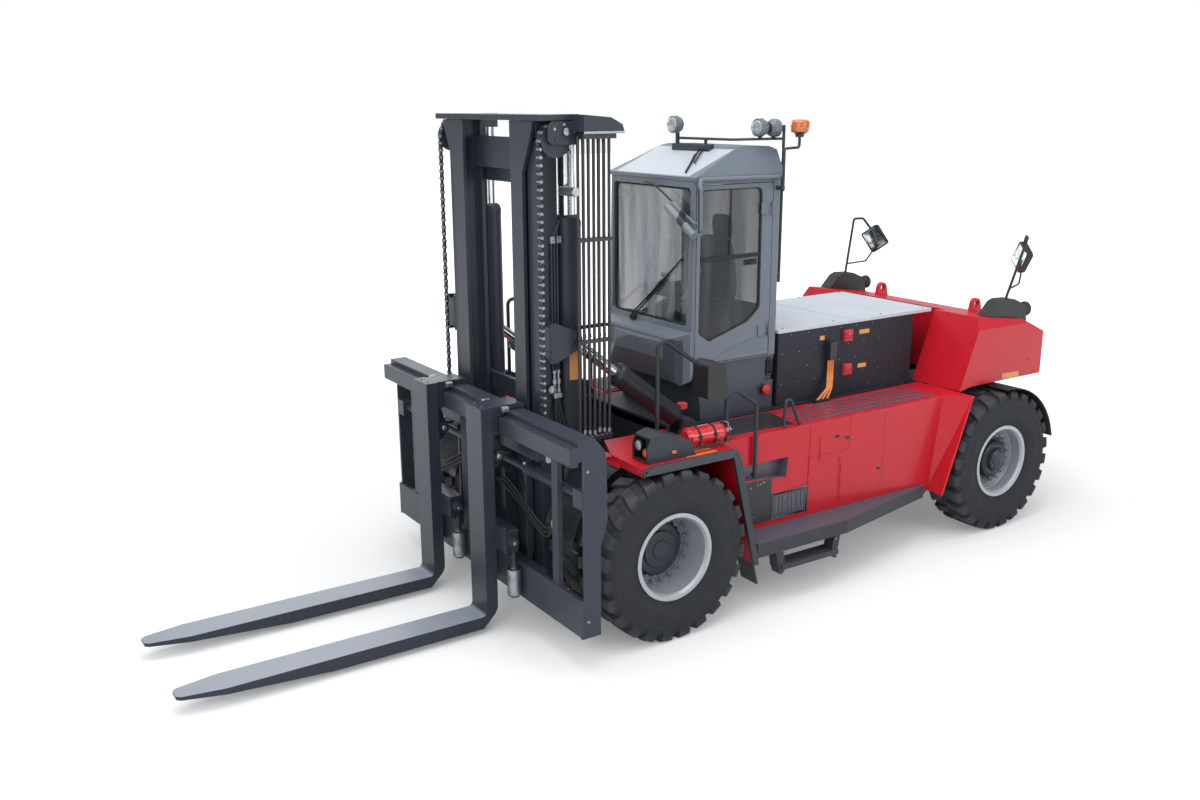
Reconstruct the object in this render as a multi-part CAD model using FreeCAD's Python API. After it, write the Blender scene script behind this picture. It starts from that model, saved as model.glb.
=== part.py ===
"""Electric heavy forklift: chassis, cab, two-stage mast, fork frame and wheels as separate parts.

Millimetres. X points forward, Y to the driver's left, Z up, and Z = 0 is the floor.
Inside this file X = 0 is the front axle. The export moves everything forward by ORIGIN_SHIFT, so
that the origin lies on the floor under the middle of the whole machine.
"""
import FreeCAD
import Part
import math
import os

V = FreeCAD.Vector

# ---- driving dimensions -------------------------------------------------------------------------
ORIGIN_SHIFT = 683.5        # front axle ahead of the middle of the overall length
WHEELBASE = 4050
TYRE_R = 685              # 14.00-24 tyre, out to the flats of the lugs
TYRE_W = 374
TREAD_R = 655             # floor of the grooves between the lugs
LUGS = 24
RIM_R = 350               # rim flange
FRONT_OUTER_Y = 1341      # centre planes of the twin drive wheels
FRONT_INNER_Y = 926
REAR_Y = 1190             # centre plane of the steered wheels
KINGPIN_Y = 900
AXLE_Z = TYRE_R

DECK_Z = 1410             # top of the red deck
FENDER_Z = 1440           # top of the front fenders
BODY_Y = 1200             # side of the body
FENDER_Y = 1500
BOARD_Y = 1480            # outer edge of the running boards
BOARD_Z = 590
BOX_Y = 600               # battery container
BOX_FRONT, BOX_TOP = -1800, 2100
CAB_Y = 620
CAB_FRONT, CAB_REAR = -815, -1762
CAB_FLOOR, GUTTER_Z, ROOF_Z = 1900, 3430, 3700
WALL = 45                 # cab wall and door thickness

PIVOT_X, PIVOT_Z = 280, 450     # mast foot pins
MAST_FRONT = 740
MAST_TOP = 3970
CHAIN_X, CHAIN_Y = 732, 801
SHEAVE_X, SHEAVE_Z = 615, 3790
LIFT_CYL_X, LIFT_CYL_Y = 402, 622
TILT_Y = 795
TILT_BASE = (-590, 1500)
TILT_EYE = (480, 2318)

FRAME_Y = 1600            # half the fork frame's width
FORK_FACE = 1163          # load face of the forks
FORK_Y = 475              # centre of each fork as parked
FORK_W, FORK_T, FORK_LENGTH = 250, 100, 2350
FORK_LOW = 50             # underside of the blades above the floor

REAR = -WHEELBASE


# ---- small builders -----------------------------------------------------------------------------
def box(x0, x1, y0, y1, z0, z1):
    return Part.makeBox(x1 - x0, y1 - y0, z1 - z0, V(x0, y0, z0))


def cyl(x, y, z, r, length, axis=V(0, 0, 1)):
    return Part.makeCylinder(r, length, V(x, y, z), axis)


def across(x, z, r, y0, y1):
    """A cylinder along Y between y0 and y1."""
    return cyl(x, y0, z, r, y1 - y0, V(0, 1, 0))


def plate(points, way):
    return Part.Face(Part.makePolygon(points + points[:1])).extrude(way)


def side_plate(outline, y0, y1):
    """A plate seen from the side: an outline of (x, z) points, from y0 to y1."""
    return plate([V(x, y0, z) for x, z in outline], V(0, y1 - y0, 0))


def floor_plate(outline, z0, z1):
    """A plate seen from above: an outline of (x, y) points, from z0 to z1."""
    return plate([V(x, y, z0) for x, y in outline], V(0, 0, z1 - z0))


def front_plate(outline, x0, x1):
    """A plate seen from the front: an outline of (y, z) points, from x0 to x1."""
    return plate([V(x0, y, z) for y, z in outline], V(x1 - x0, 0, 0))


def right(shape):
    """The same shape on the other side of the truck."""
    return shape.mirror(V(0, 0, 0), V(0, 1, 0))


def both(shape):
    return [shape, right(shape)]


def fuse(*shapes):
    whole = shapes[0].multiFuse(list(shapes[1:])) if len(shapes) > 1 else shapes[0]
    return whole.removeSplitter()


def rounded(shape, radius, chosen):
    """Fillet the edges that the test picks, given each edge's middle point and direction."""
    edges = []
    for edge in shape.Edges:
        if len(edge.Vertexes) == 2:
            a, b = edge.Vertexes[0].Point, edge.Vertexes[1].Point
            if chosen((a + b) * 0.5, (b - a).normalize()):
                edges.append(edge)
    return shape.makeFillet(radius, edges)


def along_y(middle, way):
    return abs(way.y) > 0.99


def tube(path, r, bend):
    """A round tube along a path of points, bent to the radius given at each inner one."""
    points = [V(*p) for p in path]
    pieces = []
    start = points[0]
    for before, corner, after in zip(points, points[1:], points[2:]):
        d1 = (corner - before).normalize()
        d2 = (after - corner).normalize()
        half = d1.getAngle(d2) / 2
        leave = corner - d1 * (bend * math.tan(half))
        join = corner + d2 * (bend * math.tan(half))
        middle = corner + (d2 - d1).normalize() * (bend / math.cos(half) - bend)
        pieces.append(Part.makeLine(start, leave))
        pieces.append(Part.Arc(leave, middle, join).toShape())
        start = join
    pieces.append(Part.makeLine(start, points[-1]))
    ring = Part.Wire(Part.makeCircle(r, points[0], points[1] - points[0]))
    return Part.Wire(pieces).makePipeShell([ring], True, False)


def revolve_y(profile, x, y, z):
    """Turn a profile of (radius, offset along Y) points about the wheel axis through x, y, z."""
    points = [V(x, y + off, z + r) for r, off in profile]
    face = Part.Face(Part.makePolygon(points + points[:1]))
    return face.revolve(V(x, y, z), V(0, 1, 0), 360)


def save(node, *shapes):
    solids = [s for shape in shapes for s in shape.Solids]
    for solid in solids:
        if not solid.isValid():
            raise ValueError(node + " has a bad solid")
    whole = Part.makeCompound(solids) if len(solids) > 1 else solids[0]
    moved = whole.translated(V(ORIGIN_SHIFT, 0, 0))
    moved.exportStep("parts/" + node + ".step")
    b = whole.BoundBox
    print("%-22s %2d solids %8.1f litres  x %.0f..%.0f y %.0f..%.0f z %.0f..%.0f" % (
        node, len(solids), whole.Volume / 1e6, b.XMin, b.XMax, b.YMin, b.YMax, b.ZMin, b.ZMax))


# ---- wheels -------------------------------------------------------------------------------------
def tyre(x, y):
    """Lug tyre with flat-sided lugs: each pitch has one groove and one lug across the tread."""
    pitch = 2 * math.pi / LUGS
    half = TYRE_W / 2

    def at(i, t, r, off):
        """Point t of the way along flat i, whose middle stands r from the axle."""
        a0 = math.pi / 2 + (i - 0.5) * pitch
        edge = r / math.cos(pitch / 2)
        p0 = V(edge * math.cos(a0), off, -edge * math.sin(a0))
        p1 = V(edge * math.cos(a0 + pitch), off, -edge * math.sin(a0 + pitch))
        return V(x, y, AXLE_Z) + p0 + (p1 - p0) * t

    faces = []

    def add(points):
        faces.append(Part.Face(Part.makePolygon(points + points[:1])))

    groove = 0.36
    side = [(RIM_R - 18, 128), (RIM_R + 4, 151), (470, half - 2), (598, half)]
    for i in range(LUGS):
        add([at(i, 0, RIM_R - 18, 128), at(i, 1, RIM_R - 18, 128),
             at(i, 1, RIM_R - 18, -128), at(i, 0, RIM_R - 18, -128)])
        for s in (1, -1):
            for (r0, o0), (r1, o1) in zip(side[:2], side[1:3]):
                add([at(i, 0, r0, s * o0), at(i, 1, r0, s * o0), at(i, 1, r1, s * o1), at(i, 0, r1, s * o1)])
            (r0, o0), (r1, o1) = side[2], side[3]
            add([at(i, 0, r0, s * o0), at(i, 1, r0, s * o0), at(i, 1, r1, s * o1),
                 at(i, groove, r1, s * o1), at(i, 0, r1, s * o1)])
            add([at(i, 0, r1, s * o1), at(i, groove, r1, s * o1),
                 at(i, groove, TREAD_R, s * 150), at(i, 0, TREAD_R, s * 150)])
            add([at(i, groove, r1, s * o1), at(i, 1, r1, s * o1),
                 at(i, 1, TYRE_R, s * 168), at(i, groove, TYRE_R, s * 168)])
        add([at(i, 0, TREAD_R, 150), at(i, groove, TREAD_R, 150),
             at(i, groove, TREAD_R, -150), at(i, 0, TREAD_R, -150)])
        add([at(i, groove, TYRE_R, 168), at(i, 1, TYRE_R, 168),
             at(i, 1, TYRE_R, -168), at(i, groove, TYRE_R, -168)])
        for t in (groove, 1):
            add([at(i, t, r1, half), at(i, t, TYRE_R, 168), at(i, t, TYRE_R, -168), at(i, t, r1, -half),
                 at(i, t, TREAD_R, -150), at(i, t, TREAD_R, 150)])
    shell = Part.makeShell(faces)
    shell.sewShape()
    solid = Part.makeSolid(shell)
    if solid.Volume < 0:
        solid.reverse()
    return solid


def rim(x, y, disc, flare):
    """Five-piece rim: gutter and flanges, with a dished disc at the offset given."""
    lip = RIM_R + 2
    well = [(RIM_R - 30, -160), (lip, -160), (lip, -152.5), (RIM_R - 20, -130), (RIM_R - 20, 130),
            (lip, 152.5), (lip, 160), (RIM_R - 30, 160), (RIM_R - 44, 136), (RIM_R - 44, -136)]
    inner, outer = 112, RIM_R - 36
    web = [(inner, disc - 12), (inner + 130, disc - 12), (outer, disc - 12 + flare),
           (outer, disc + 14 + flare), (inner + 130, disc + 12), (inner, disc + 12)]
    return fuse(revolve_y(well, x, y, AXLE_Z), revolve_y(web, x, y, AXLE_Z))


def front_wheel_left():
    """Twin drive wheel: two tyres on two rims, clamped to one planetary hub."""
    save("front_tyres_left", tyre(0, FRONT_INNER_Y), tyre(0, FRONT_OUTER_Y))
    outer = rim(0, FRONT_OUTER_Y, -100, -20)
    inner = rim(0, FRONT_INNER_Y, 100, 20)
    drum = revolve_y([(112, 1004), (236, 1004), (236, 1230), (226, 1262), (205, 1284), (112, 1290)],
                     0, 0, AXLE_Z)
    cap = revolve_y([(1, 1291), (150, 1284), (146, 1304), (76, 1308), (70, 1316), (1, 1316)], 0, 0, AXLE_Z)
    spacer = revolve_y([(RIM_R - 42, 1080), (RIM_R - 24, 1080), (RIM_R - 24, 1187), (RIM_R - 42, 1187)],
                       0, 0, AXLE_Z)
    save("front_rims_left", fuse(outer, inner, spacer, drum, cap))


def rear_wheel_left():
    """Single steered wheel on its own hub."""
    save("rear_tyre_left", tyre(REAR, REAR_Y))
    hub = revolve_y([(72.05, 1120), (215, 1120), (215, 1180), (185, 1196), (172, 1262), (150, 1280),
                     (72.05, 1280)], REAR, 0, AXLE_Z)
    cap = revolve_y([(1, 1262), (74, 1262), (74, 1279), (118, 1279), (112, 1312), (84, 1334), (1, 1344)],
                    REAR, 0, AXLE_Z)
    save("rear_rim_left", fuse(rim(REAR, REAR_Y, -6, 30), hub, cap))


def drive_axle():
    """Front axle housing: banjo centre, gearbox nose, trumpets, brake housings and spindles."""
    tube_half = [(1, 0), (185, 0), (185, 260), (150, 420), (150, 640), (236, 655), (236, 700), (111.9, 716),
                 (111.9, 990), (1, 990)]
    half = revolve_y(tube_half, 0, 0, AXLE_Z)
    banjo = revolve_y([(1, -150), (250, -150), (285, -60), (285, 60), (250, 150), (1, 150)], 0, 0, AXLE_Z)
    nose = cyl(-230, 0, AXLE_Z, 165, 330, V(-1, 0, 0))
    motor = cyl(-560, 0, AXLE_Z + 10, 190, 60, V(-1, 0, 0)).fuse(cyl(-230, 0, AXLE_Z, 205, 30, V(-1, 0, 0)))
    pad = box(-140, 140, 470, 620, AXLE_Z + 100, AXLE_Z + 205)
    ear = side_plate([(-110, 560), (-110, 800), (60, 820), (170, 720), (330, 530), (362, 450), (330, 385),
                      (280, 366), (215, 380), (40, 520)], 390, 446)
    ear = rounded(ear, 40, lambda m, w: along_y(m, w) and m.x > 200 and m.z < 600)
    pin = across(PIVOT_X, PIVOT_Z, 60, 390, 527)
    left = fuse(half, pad, ear, pin)
    save("drive_axle", fuse(left, right(left), banjo, nose, motor))


def steer_axle():
    """Rear axle beam, tapered to its kingpin bosses, with the steering cylinder behind it."""
    z = AXLE_Z
    beam = front_plate([(-560, z - 90), (-300, z - 130), (300, z - 130), (560, z - 90), (560, z + 90),
                        (300, z + 130), (-300, z + 130), (-560, z + 90)], REAR - 125, REAR + 125)
    arms = floor_plate([(REAR - 125, 555), (REAR + 125, 555), (REAR + 80, KINGPIN_Y), (REAR - 80, KINGPIN_Y)],
                       z - 88, z + 88)
    boss = cyl(REAR, KINGPIN_Y, z - 96, 98, 192)
    left = fuse(arms, boss).cut(cyl(REAR, KINGPIN_Y, z - 200, 60.05, 400))
    barrel = across(REAR - 200, z, 72, -330, 330).fuse(across(REAR - 200, z, 34, -520, 520))
    hanger = box(REAR - 262, REAR - 120, 250, 300, z - 80, z + 80)
    post = front_plate([(-250, z + 120), (250, z + 120), (180, 1300), (-180, 1300)], REAR - 160, REAR + 160)
    save("steer_axle", fuse(beam, left, right(left), barrel, hanger, right(hanger), post))


def knuckle_left():
    """Kingpin, two arms round the beam's boss, spindle and the mudguard that turns with the wheel."""
    z = AXLE_Z
    pin = cyl(REAR, KINGPIN_Y, z - 165, 60, 330)
    arm_outline = [(REAR - 80, KINGPIN_Y - 40), (REAR - 40, KINGPIN_Y - 90), (REAR + 40, KINGPIN_Y - 90),
                   (REAR + 80, KINGPIN_Y - 40), (REAR + 90, 1075), (REAR - 90, 1075)]
    lower = floor_plate(arm_outline, z - 152, z - 102)
    upper = floor_plate(arm_outline, z + 102, z + 152)
    flange = revolve_y([(1, 1035), (175, 1035), (190, 1050), (190, 1078), (1, 1078)], REAR, 0, z)
    spindle = across(REAR, z, 72, 1070, 1255)
    inside, outside = TYRE_R + 30, TYRE_R + 40
    ring = across(REAR, z, outside, REAR_Y - 195, REAR_Y + 195).cut(
        across(REAR, z, inside, REAR_Y - 200, REAR_Y + 200))
    reach = outside * 1.3
    far = math.radians(168)
    sector = side_plate([(REAR, z), (REAR + 70, z + reach), (REAR - reach, z + reach),
                         (REAR + reach * math.cos(far), z + reach * math.sin(far))],
                        REAR_Y - 200, REAR_Y + 200)
    guard = ring.common(sector)
    stay = side_plate([(REAR - 70, z + 105), (REAR + 30, z + 105), (REAR - 40, z + inside + 4),
                       (REAR - 170, z + inside - 20)], REAR_Y - 205, REAR_Y - 193)
    foot = box(REAR - 70, REAR + 30, KINGPIN_Y + 60, REAR_Y - 193, z + 105, z + 151)
    save("knuckle_left", fuse(pin, lower, upper, flange, spindle, guard, stay, foot))


def mirror_nodes(*nodes):
    """Write the right-hand twin of nodes already written for the left."""
    for node in nodes:
        shape = Part.read("parts/" + node + ".step")
        twin = shape.translated(V(-ORIGIN_SHIFT, 0, 0)).mirror(V(0, 0, 0), V(0, 1, 0))
        save(node.replace("left", "right"), twin)


# ---- chassis and body ---------------------------------------------------------------------------
def chassis_frame():
    """Welded main frame: side plates, cross members, axle seats, tilt brackets and rear bridge."""
    rail = side_plate([(130, 960), (60, 1130), (-90, 1260), (-140, 1388), (-3150, 1388), (-3150, 640),
                       (-2900, 470), (-760, 430), (-460, 440), (-300, 700), (-220, 960)], 640, 690)
    for x in (-1300, -1900, -2500):
        rail = rail.cut(across(x, 900, 150, 600, 700))
    bridge = box(-4330, -3120, -240, 240, 840, 1388).cut(box(-4400, REAR + 180, -245, 245, 0, 1305))
    wall = box(-3190, -3150, -690, 690, 640, 1388)
    front = box(-680, -640, -640, 640, 470, 1300)
    middle = box(-1900, -1860, -640, 640, 480, 1388)
    belly = box(-3150, -700, -640, 640, 474, 494)
    seat = side_plate([(-150, AXLE_Z + 205), (150, AXLE_Z + 205), (100, 1130), (-110, 1130)], 480, 642)
    bx, bz = TILT_BASE
    lug = fuse(side_plate([(bx - 130, 1405), (bx - 56, bz + 20), (bx + 56, bz + 12), (bx + 110, 1405)],
                          TILT_Y - 100, TILT_Y - 62), across(bx, bz, 62, TILT_Y - 100, TILT_Y - 62))
    other = lug.translated(V(0, 162, 0))
    tilt_pin = across(bx, bz, 40, TILT_Y - 104, TILT_Y + 104)
    outrigger = box(bx - 190, bx + 120, 640, TILT_Y + 110, 1393, 1412)
    stump = box(bx - 190, bx + 120, 640, 690, 1370, 1400)
    left = fuse(rail, seat, lug, other, tilt_pin, outrigger, stump)
    deck = box(-3160, -620, -640, 640, 1384, DECK_Z)
    save("chassis_frame", fuse(left, right(left), bridge, wall, front, middle, belly, deck))


def side_bodies():
    """Red deck plates with the sheet-metal lockers under them, between the axles."""
    def locker():
        deck = floor_plate([(-604, 910), (-604, BODY_Y), (-3310, BODY_Y), (-3500, 1372), (-3545, 1372),
                            (-3545, 694), (-786, 694), (-786, 910)], 1390, DECK_Z)
        outline = [(-838, 470), (-626, 1391), (-3312, 1391), (-3186, 515), (-3120, 470)]
        shell = side_plate(outline, 700, BODY_Y)
        hollow = side_plate([(-870, 500), (-670, 1380), (-3270, 1380), (-3150, 500)], 690, BODY_Y - 14)
        shell = shell.cut(hollow).cut(box(-790, -460, 690, 912, 1388, 1420))
        pocket = side_plate([(-915, 1034), (-910, 1161), (-1410, 1161), (-1391, 986)], BODY_Y - 110, BODY_Y + 2)
        tray = side_plate([(-901, 1018), (-896, 1177), (-1426, 1177), (-1405, 968)], BODY_Y - 122, BODY_Y - 5)
        seams = [box(-1652, -1648, BODY_Y - 4, BODY_Y + 2, 600, 1385),
                 box(-2002, -1998, BODY_Y - 4, BODY_Y + 2, 640, 1110),
                 box(-2126, -1650, BODY_Y - 4, BODY_Y + 2, 1106, 1110),
                 box(-2128, -2124, BODY_Y - 4, BODY_Y + 2, 1106, 1385)]
        shell = fuse(shell, tray).cut(pocket)
        for seam in seams:
            shell = shell.cut(seam)
        vent = side_plate([(-1232, 660), (-1228, 868), (-1622, 855), (-1634, 632)], BODY_Y - 4, BODY_Y + 9)
        for k in range(7):
            x = -1270 - 50 * k
            slat = side_plate([(x, 680), (x, 840), (x - 26, 838), (x - 26, 678)], BODY_Y + 2, BODY_Y + 12)
            vent = vent.cut(slat)
        corner_low = [V(-3186, BODY_Y - 14, 515), V(-3312, BODY_Y - 14, 1410), V(-3500, 1385, 1410),
                      V(-3165, 1385, 515)]
        sheet = Part.Face(Part.makePolygon(corner_low[:1] + corner_low[1:3] + corner_low[:1]))
        sheet2 = Part.Face(Part.makePolygon([corner_low[0], corner_low[2], corner_low[3], corner_low[0]]))
        flare = fuse(sheet.extrude(V(-16, 4, 0)), sheet2.extrude(V(-16, 4, 0)))
        rib = box(-3290, -1610, 0, 34, DECK_Z - 1, DECK_Z + 7)
        ribs = [rib.translated(V(0, 800 + 78 * k, 0)) for k in range(5)]
        mat = floor_plate([(-850, 730), (-846, 1090), (-1520, 1130), (-1590, 730)], DECK_Z - 1, DECK_Z + 9)
        return fuse(shell, deck, vent, flare, mat, *ribs)
    save("side_bodies", *both(locker()))


def front_fenders():
    """Fender over each pair of drive wheels: top, trim lip, rear leg, front mudguard and flap."""
    z = FENDER_Z
    plan = [(-462, 702), (-462, 914), (-598, 914), (-598, FENDER_Y - 6), (296, FENDER_Y - 6), (286, 1050),
            (165, 800), (120, 702)]
    top = floor_plate(plan, z - 18, z)
    lip = floor_plate([(296, FENDER_Y - 6), (286, 1050), (274, 1050), (284, FENDER_Y - 6)], z - 66, z - 1)
    inner_lip = floor_plate([(286, 1050), (165, 800), (120, 702), (106, 702), (152, 806), (272, 1056)],
                            z - 46, z - 1)
    trim = side_plate([(-604, z - 60), (-590, z + 2), (-570, z + 10), (225, z + 10), (296, z - 50),
                       (270, z - 56), (-560, z - 56)], FENDER_Y - 30, FENDER_Y)
    leg = side_plate([(-586, z - 10), (-602, z - 10), (-818, 480), (-802, 480)], BODY_Y + 3, FENDER_Y - 20)
    post = side_plate([(-560, z - 56), (-570, z + 10), (-590, z + 2), (-640, 1360), (-852, 424), (-800, 424)],
                      FENDER_Y - 30, FENDER_Y)
    flap = side_plate([(-804, 484), (-816, 484), (-880, 235), (-870, 232)], BODY_Y + 60, FENDER_Y - 40)
    guard = across(0, AXLE_Z, 748, 770, 1180).cut(across(0, AXLE_Z, 738, 750, 1190))
    sector = side_plate([(0, AXLE_Z), (840, 860), (840, 1500), (270, 1600)], 750, 1190)
    mudguard = guard.common(sector)
    web = side_plate([(238, z - 30), (286, z - 30), (330, 1350), (296, 1366)], 1060, 1180)
    web = web.fuse(side_plate([(238, z - 30), (286, z - 30), (330, 1350), (296, 1366)], 960, 1000))
    tie = floor_plate([(296, 1190), (286, 1040), (232, 940), (200, 940), (230, 1190)], z - 40, z - 16)
    save("front_fenders", *both(fuse(top, lip, inner_lip, trim, leg, post, flap, mudguard, web, tie)))


def steps_and_rails():
    """Running boards with their lower steps, grab hoops, and the rail round the cab's front corner."""
    plan = [(-850, BODY_Y + 1), (-850, BOARD_Y), (-1860, BOARD_Y), (-3100, BODY_Y + 30), (-3100, BODY_Y + 1)]
    board = floor_plate(plan, BOARD_Z - 14, BOARD_Z)
    skirt = floor_plate([(-850, BOARD_Y), (-1860, BOARD_Y), (-3100, BODY_Y + 30), (-3100, BODY_Y + 6),
                         (-1856, BOARD_Y - 20), (-850, BOARD_Y - 20)], BOARD_Z - 120, BOARD_Z - 1)
    nose = box(-866, -850, BODY_Y + 1, BOARD_Y, BOARD_Z - 120, BOARD_Z)
    tread = box(-1770, -1130, BOARD_Y - 160, BOARD_Y, 300, 340)
    bracket = side_plate([(-1182, 300), (-1142, 260), (-1120, 262), (-1060, 480), (-1140, 480)],
                         BOARD_Y - 120, BOARD_Y - 16)
    other = side_plate([(-1700, 300), (-1740, 262), (-1762, 262), (-1800, 480), (-1730, 480)],
                       BOARD_Y - 120, BOARD_Y - 16)
    boards = both(fuse(board, skirt, nose, tread, bracket, other))
    hoop = tube([(-735, 1182, DECK_Z + 2), (-735, 1182, 1800), (-830, 1190, 1822), (-1010, 1230, 1690),
                 (-1010, 1230, 1060)], 17, 60)
    foot = box(-1024, -996, 1201, 1230, 1070, 1096)
    low = tube([(-1378, 1165, DECK_Z + 10), (-1388, 1165, 1655), (-1450, 1165, 1640), (-1545, 1165, DECK_Z + 10)],
               14, 30)
    rail = tube([(-1725, 655, 3440), (-846, 655, 3446), (-815, 696, 3376), (-815, 704, 3060),
                 (-784, 645, 2985)], 19, 42)
    sleeve = tube([(-780, 672, 3003), (-776, 308, 3218)], 34, 0)
    wand = tube([(-815, 702, 3110), (-792, 664, 3100), (-790, 90, 3392), (-790, -30, 3398)], 9, 20)
    clip = box(-800, -770, 470, 520, 3110, 3190)
    cab_rail = fuse(rail, sleeve, wand, clip)
    save("steps_and_rails", *boards, *both(fuse(hoop, foot)), *both(low), cab_rail)


def battery():
    """Battery container between cab and counterweight, and its pale bolted cover."""
    block = box(-3535, BOX_FRONT, -BOX_Y, BOX_Y, DECK_Z + 1, BOX_TOP - 31)
    block = rounded(block, 14, lambda m, w: abs(w.z) > 0.99)
    save("battery_box", block)
    cover = box(-3785, BOX_FRONT + 6, -BOX_Y - 6, BOX_Y + 6, BOX_TOP - 30, BOX_TOP)
    save("battery_cover", rounded(cover, 16, lambda m, w: abs(w.z) > 0.99))


def power_cables():
    """High-voltage cables from the connector on the battery container down into the deck."""
    plug = box(-2450, -2370, BOX_Y + 1, BOX_Y + 75, 1770, 1935)
    cables = []
    for k in range(3):
        x = -2384 - 26 * k
        cables.append(tube([(x, BOX_Y + 42, 1774), (x, BOX_Y + 42, 1640), (x + 60, BOX_Y + 100, 1520),
                            (-2180 - 62 * k, BOX_Y + 118, DECK_Z + 12)], 11, 90))
    gland = box(-2330, -2150, BOX_Y + 90, BOX_Y + 140, DECK_Z + 1, DECK_Z + 26)
    save("power_cables", fuse(plug, gland, *cables))


def counterweight():
    """Cast counterweight: a saddle over the steered wheels with a tail wedge down between them."""
    outline = [(-3560, DECK_Z + 1), (-3812, 2085), (-4420, 2010), (-4745, 1862), (-4860, 1700),
               (-4880, 1500), (-4800, 1440), (-3720, 1440)]
    body = side_plate(outline, -1190, 1190)
    body = rounded(body, 28, lambda m, w: along_y(m, w) and m.z > 1600 and m.x < -4300)
    corner = floor_plate([(-4560, 1300), (-4745, 1190), (-4905, 820), (-5000, 820), (-5000, 1300)], 0, 2500)
    body = body.cut(corner).cut(right(corner))
    shoulder = front_plate([(1130, 2200), (1130, 2085), (1195, 1960), (1300, 1960), (1300, 2200)], -5000, -3500)
    body = body.cut(shoulder).cut(right(shoulder))
    body = body.cut(box(-4000, -3500, -BOX_Y - 14, BOX_Y + 14, DECK_Z - 5, 2110))
    tail = floor_plate([(-4340, -150), (-4600, -170), (-4870, -420), (-4870, 420), (-4600, 170), (-4340, 150)],
                       640, 1450)
    slope = side_plate([(-4300, 600), (-4900, 600), (-4900, 900)], -500, 500)
    eye = side_plate([(-4490, 1960), (-4455, 2110), (-4425, 2140), (-4375, 2140), (-4345, 2110), (-4310, 1960)],
                     600, 645)
    eye = rounded(eye, 30, lambda m, w: along_y(m, w) and m.z > 2100)
    eye = eye.cut(across(-4400, 2085, 32, 590, 655))
    tow = box(-5000, -4740, -75, 75, 1010, 1100)
    hitch = cyl(-4800, 0, 700, 30, 420)
    whole = fuse(body, tail.cut(slope), eye, right(eye))
    save("counterweight", whole.cut(tow).cut(hitch))


# ---- cab ----------------------------------------------------------------------------------------
def cab_frame():
    """Cab shell on its plinth: floor, pillars, front cowl and window openings all round."""
    plinth = side_plate([(-950, DECK_Z + 1), (-915, 1740), (-862, CAB_FLOOR + 10), (CAB_REAR + 4, CAB_FLOOR + 10),
                         (CAB_REAR + 4, DECK_Z + 1)], -586, 586)
    plinth = plinth.cut(box(CAB_REAR + 44, -990, -546, 546, DECK_Z - 5, CAB_FLOOR - 40))
    plinth = plinth.cut(box(CAB_REAR - 5, CAB_REAR + 96, 560, 600, 1665, 1849))
    outer = side_plate([(CAB_FRONT, CAB_FLOOR), (CAB_FRONT + 8, 2200), (CAB_FRONT - 16, GUTTER_Z),
                        (CAB_REAR, GUTTER_Z), (CAB_REAR, CAB_FLOOR)], -CAB_Y, CAB_Y)
    outer = rounded(outer, 40, lambda m, w: abs(w.z) > 0.98)
    inner = box(CAB_REAR + WALL, CAB_FRONT - WALL - 22, -CAB_Y + WALL, CAB_Y - WALL, CAB_FLOOR + 40, 4000)
    shell = outer.cut(inner)
    windscreen = front_plate([(-548, 2232), (548, 2232), (556, 3376), (-556, 3376)], CAB_FRONT - 100, CAB_FRONT + 40)
    windscreen = rounded(windscreen, 40, lambda m, w: abs(w.x) > 0.99)
    rear_window = front_plate([(-500, 2300), (500, 2300), (500, 3340), (-500, 3340)], CAB_REAR - 20, CAB_REAR + 60)
    rear_window = rounded(rear_window, 60, lambda m, w: abs(w.x) > 0.99)
    flank = side_plate([(-900, 2180), (-890, 3360), (-1650, 3360), (-1650, 2330), (-1400, 2220), (-1000, 2110)],
                       -CAB_Y - 20, -CAB_Y + 60)
    flank = rounded(flank, 60, along_y)
    doorway = box(CAB_REAR + 95, CAB_FRONT - 28, CAB_Y - WALL - 10, CAB_Y + 20, CAB_FLOOR + 8, GUTTER_Z - 30)
    cowl = side_plate([(CAB_FRONT - 30, 1870), (CAB_FRONT - 10, 1790), (CAB_FRONT + 60, 1730),
                       (CAB_FRONT + 96, 1760), (CAB_FRONT + 130, 2080), (CAB_FRONT + 92, 2140),
                       (CAB_FRONT - 30, 2212)], -CAB_Y + 8, CAB_Y - 8)
    plan = floor_plate([(CAB_FRONT - 60, 620), (CAB_FRONT + 10, 612), (CAB_FRONT + 90, 500), (CAB_FRONT + 122, 330),
                        (CAB_FRONT + 132, 0), (CAB_FRONT + 122, -330), (CAB_FRONT + 90, -500),
                        (CAB_FRONT + 10, -612), (CAB_FRONT - 60, -620)], 1600, 2300)
    save("cab_frame", fuse(shell.cut(windscreen).cut(rear_window).cut(flank).cut(doorway), cowl.common(plan),
                            plinth))


def cab_roof():
    """Roof cap: long sloping front pane, flat top, and side panels that lean in."""
    outline = [(CAB_FRONT - 12, GUTTER_Z + 1), (CAB_FRONT - 4, GUTTER_Z + 30), (-1320, ROOF_Z - 22),
               (-1400, ROOF_Z - 8), (-1690, ROOF_Z - 12), (CAB_REAR - 6, ROOF_Z - 40), (CAB_REAR - 10, GUTTER_Z + 1)]
    cap = side_plate(outline, -CAB_Y - 8, CAB_Y + 8)
    inner = side_plate([(CAB_FRONT - 70, GUTTER_Z - 5), (CAB_FRONT - 74, GUTTER_Z + 28), (-1330, ROOF_Z - 60),
                        (CAB_REAR + 40, ROOF_Z - 60), (CAB_REAR + 40, GUTTER_Z - 5)], -440, 440)
    lean = front_plate([(CAB_Y + 9, GUTTER_Z + 36), (508, ROOF_Z + 4), (508, ROOF_Z + 60), (CAB_Y + 60, ROOF_Z + 60),
                        (CAB_Y + 60, GUTTER_Z + 36)], CAB_REAR - 40, CAB_FRONT + 20)
    save("cab_roof", cap.cut(inner).cut(lean).cut(right(lean)))


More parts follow.
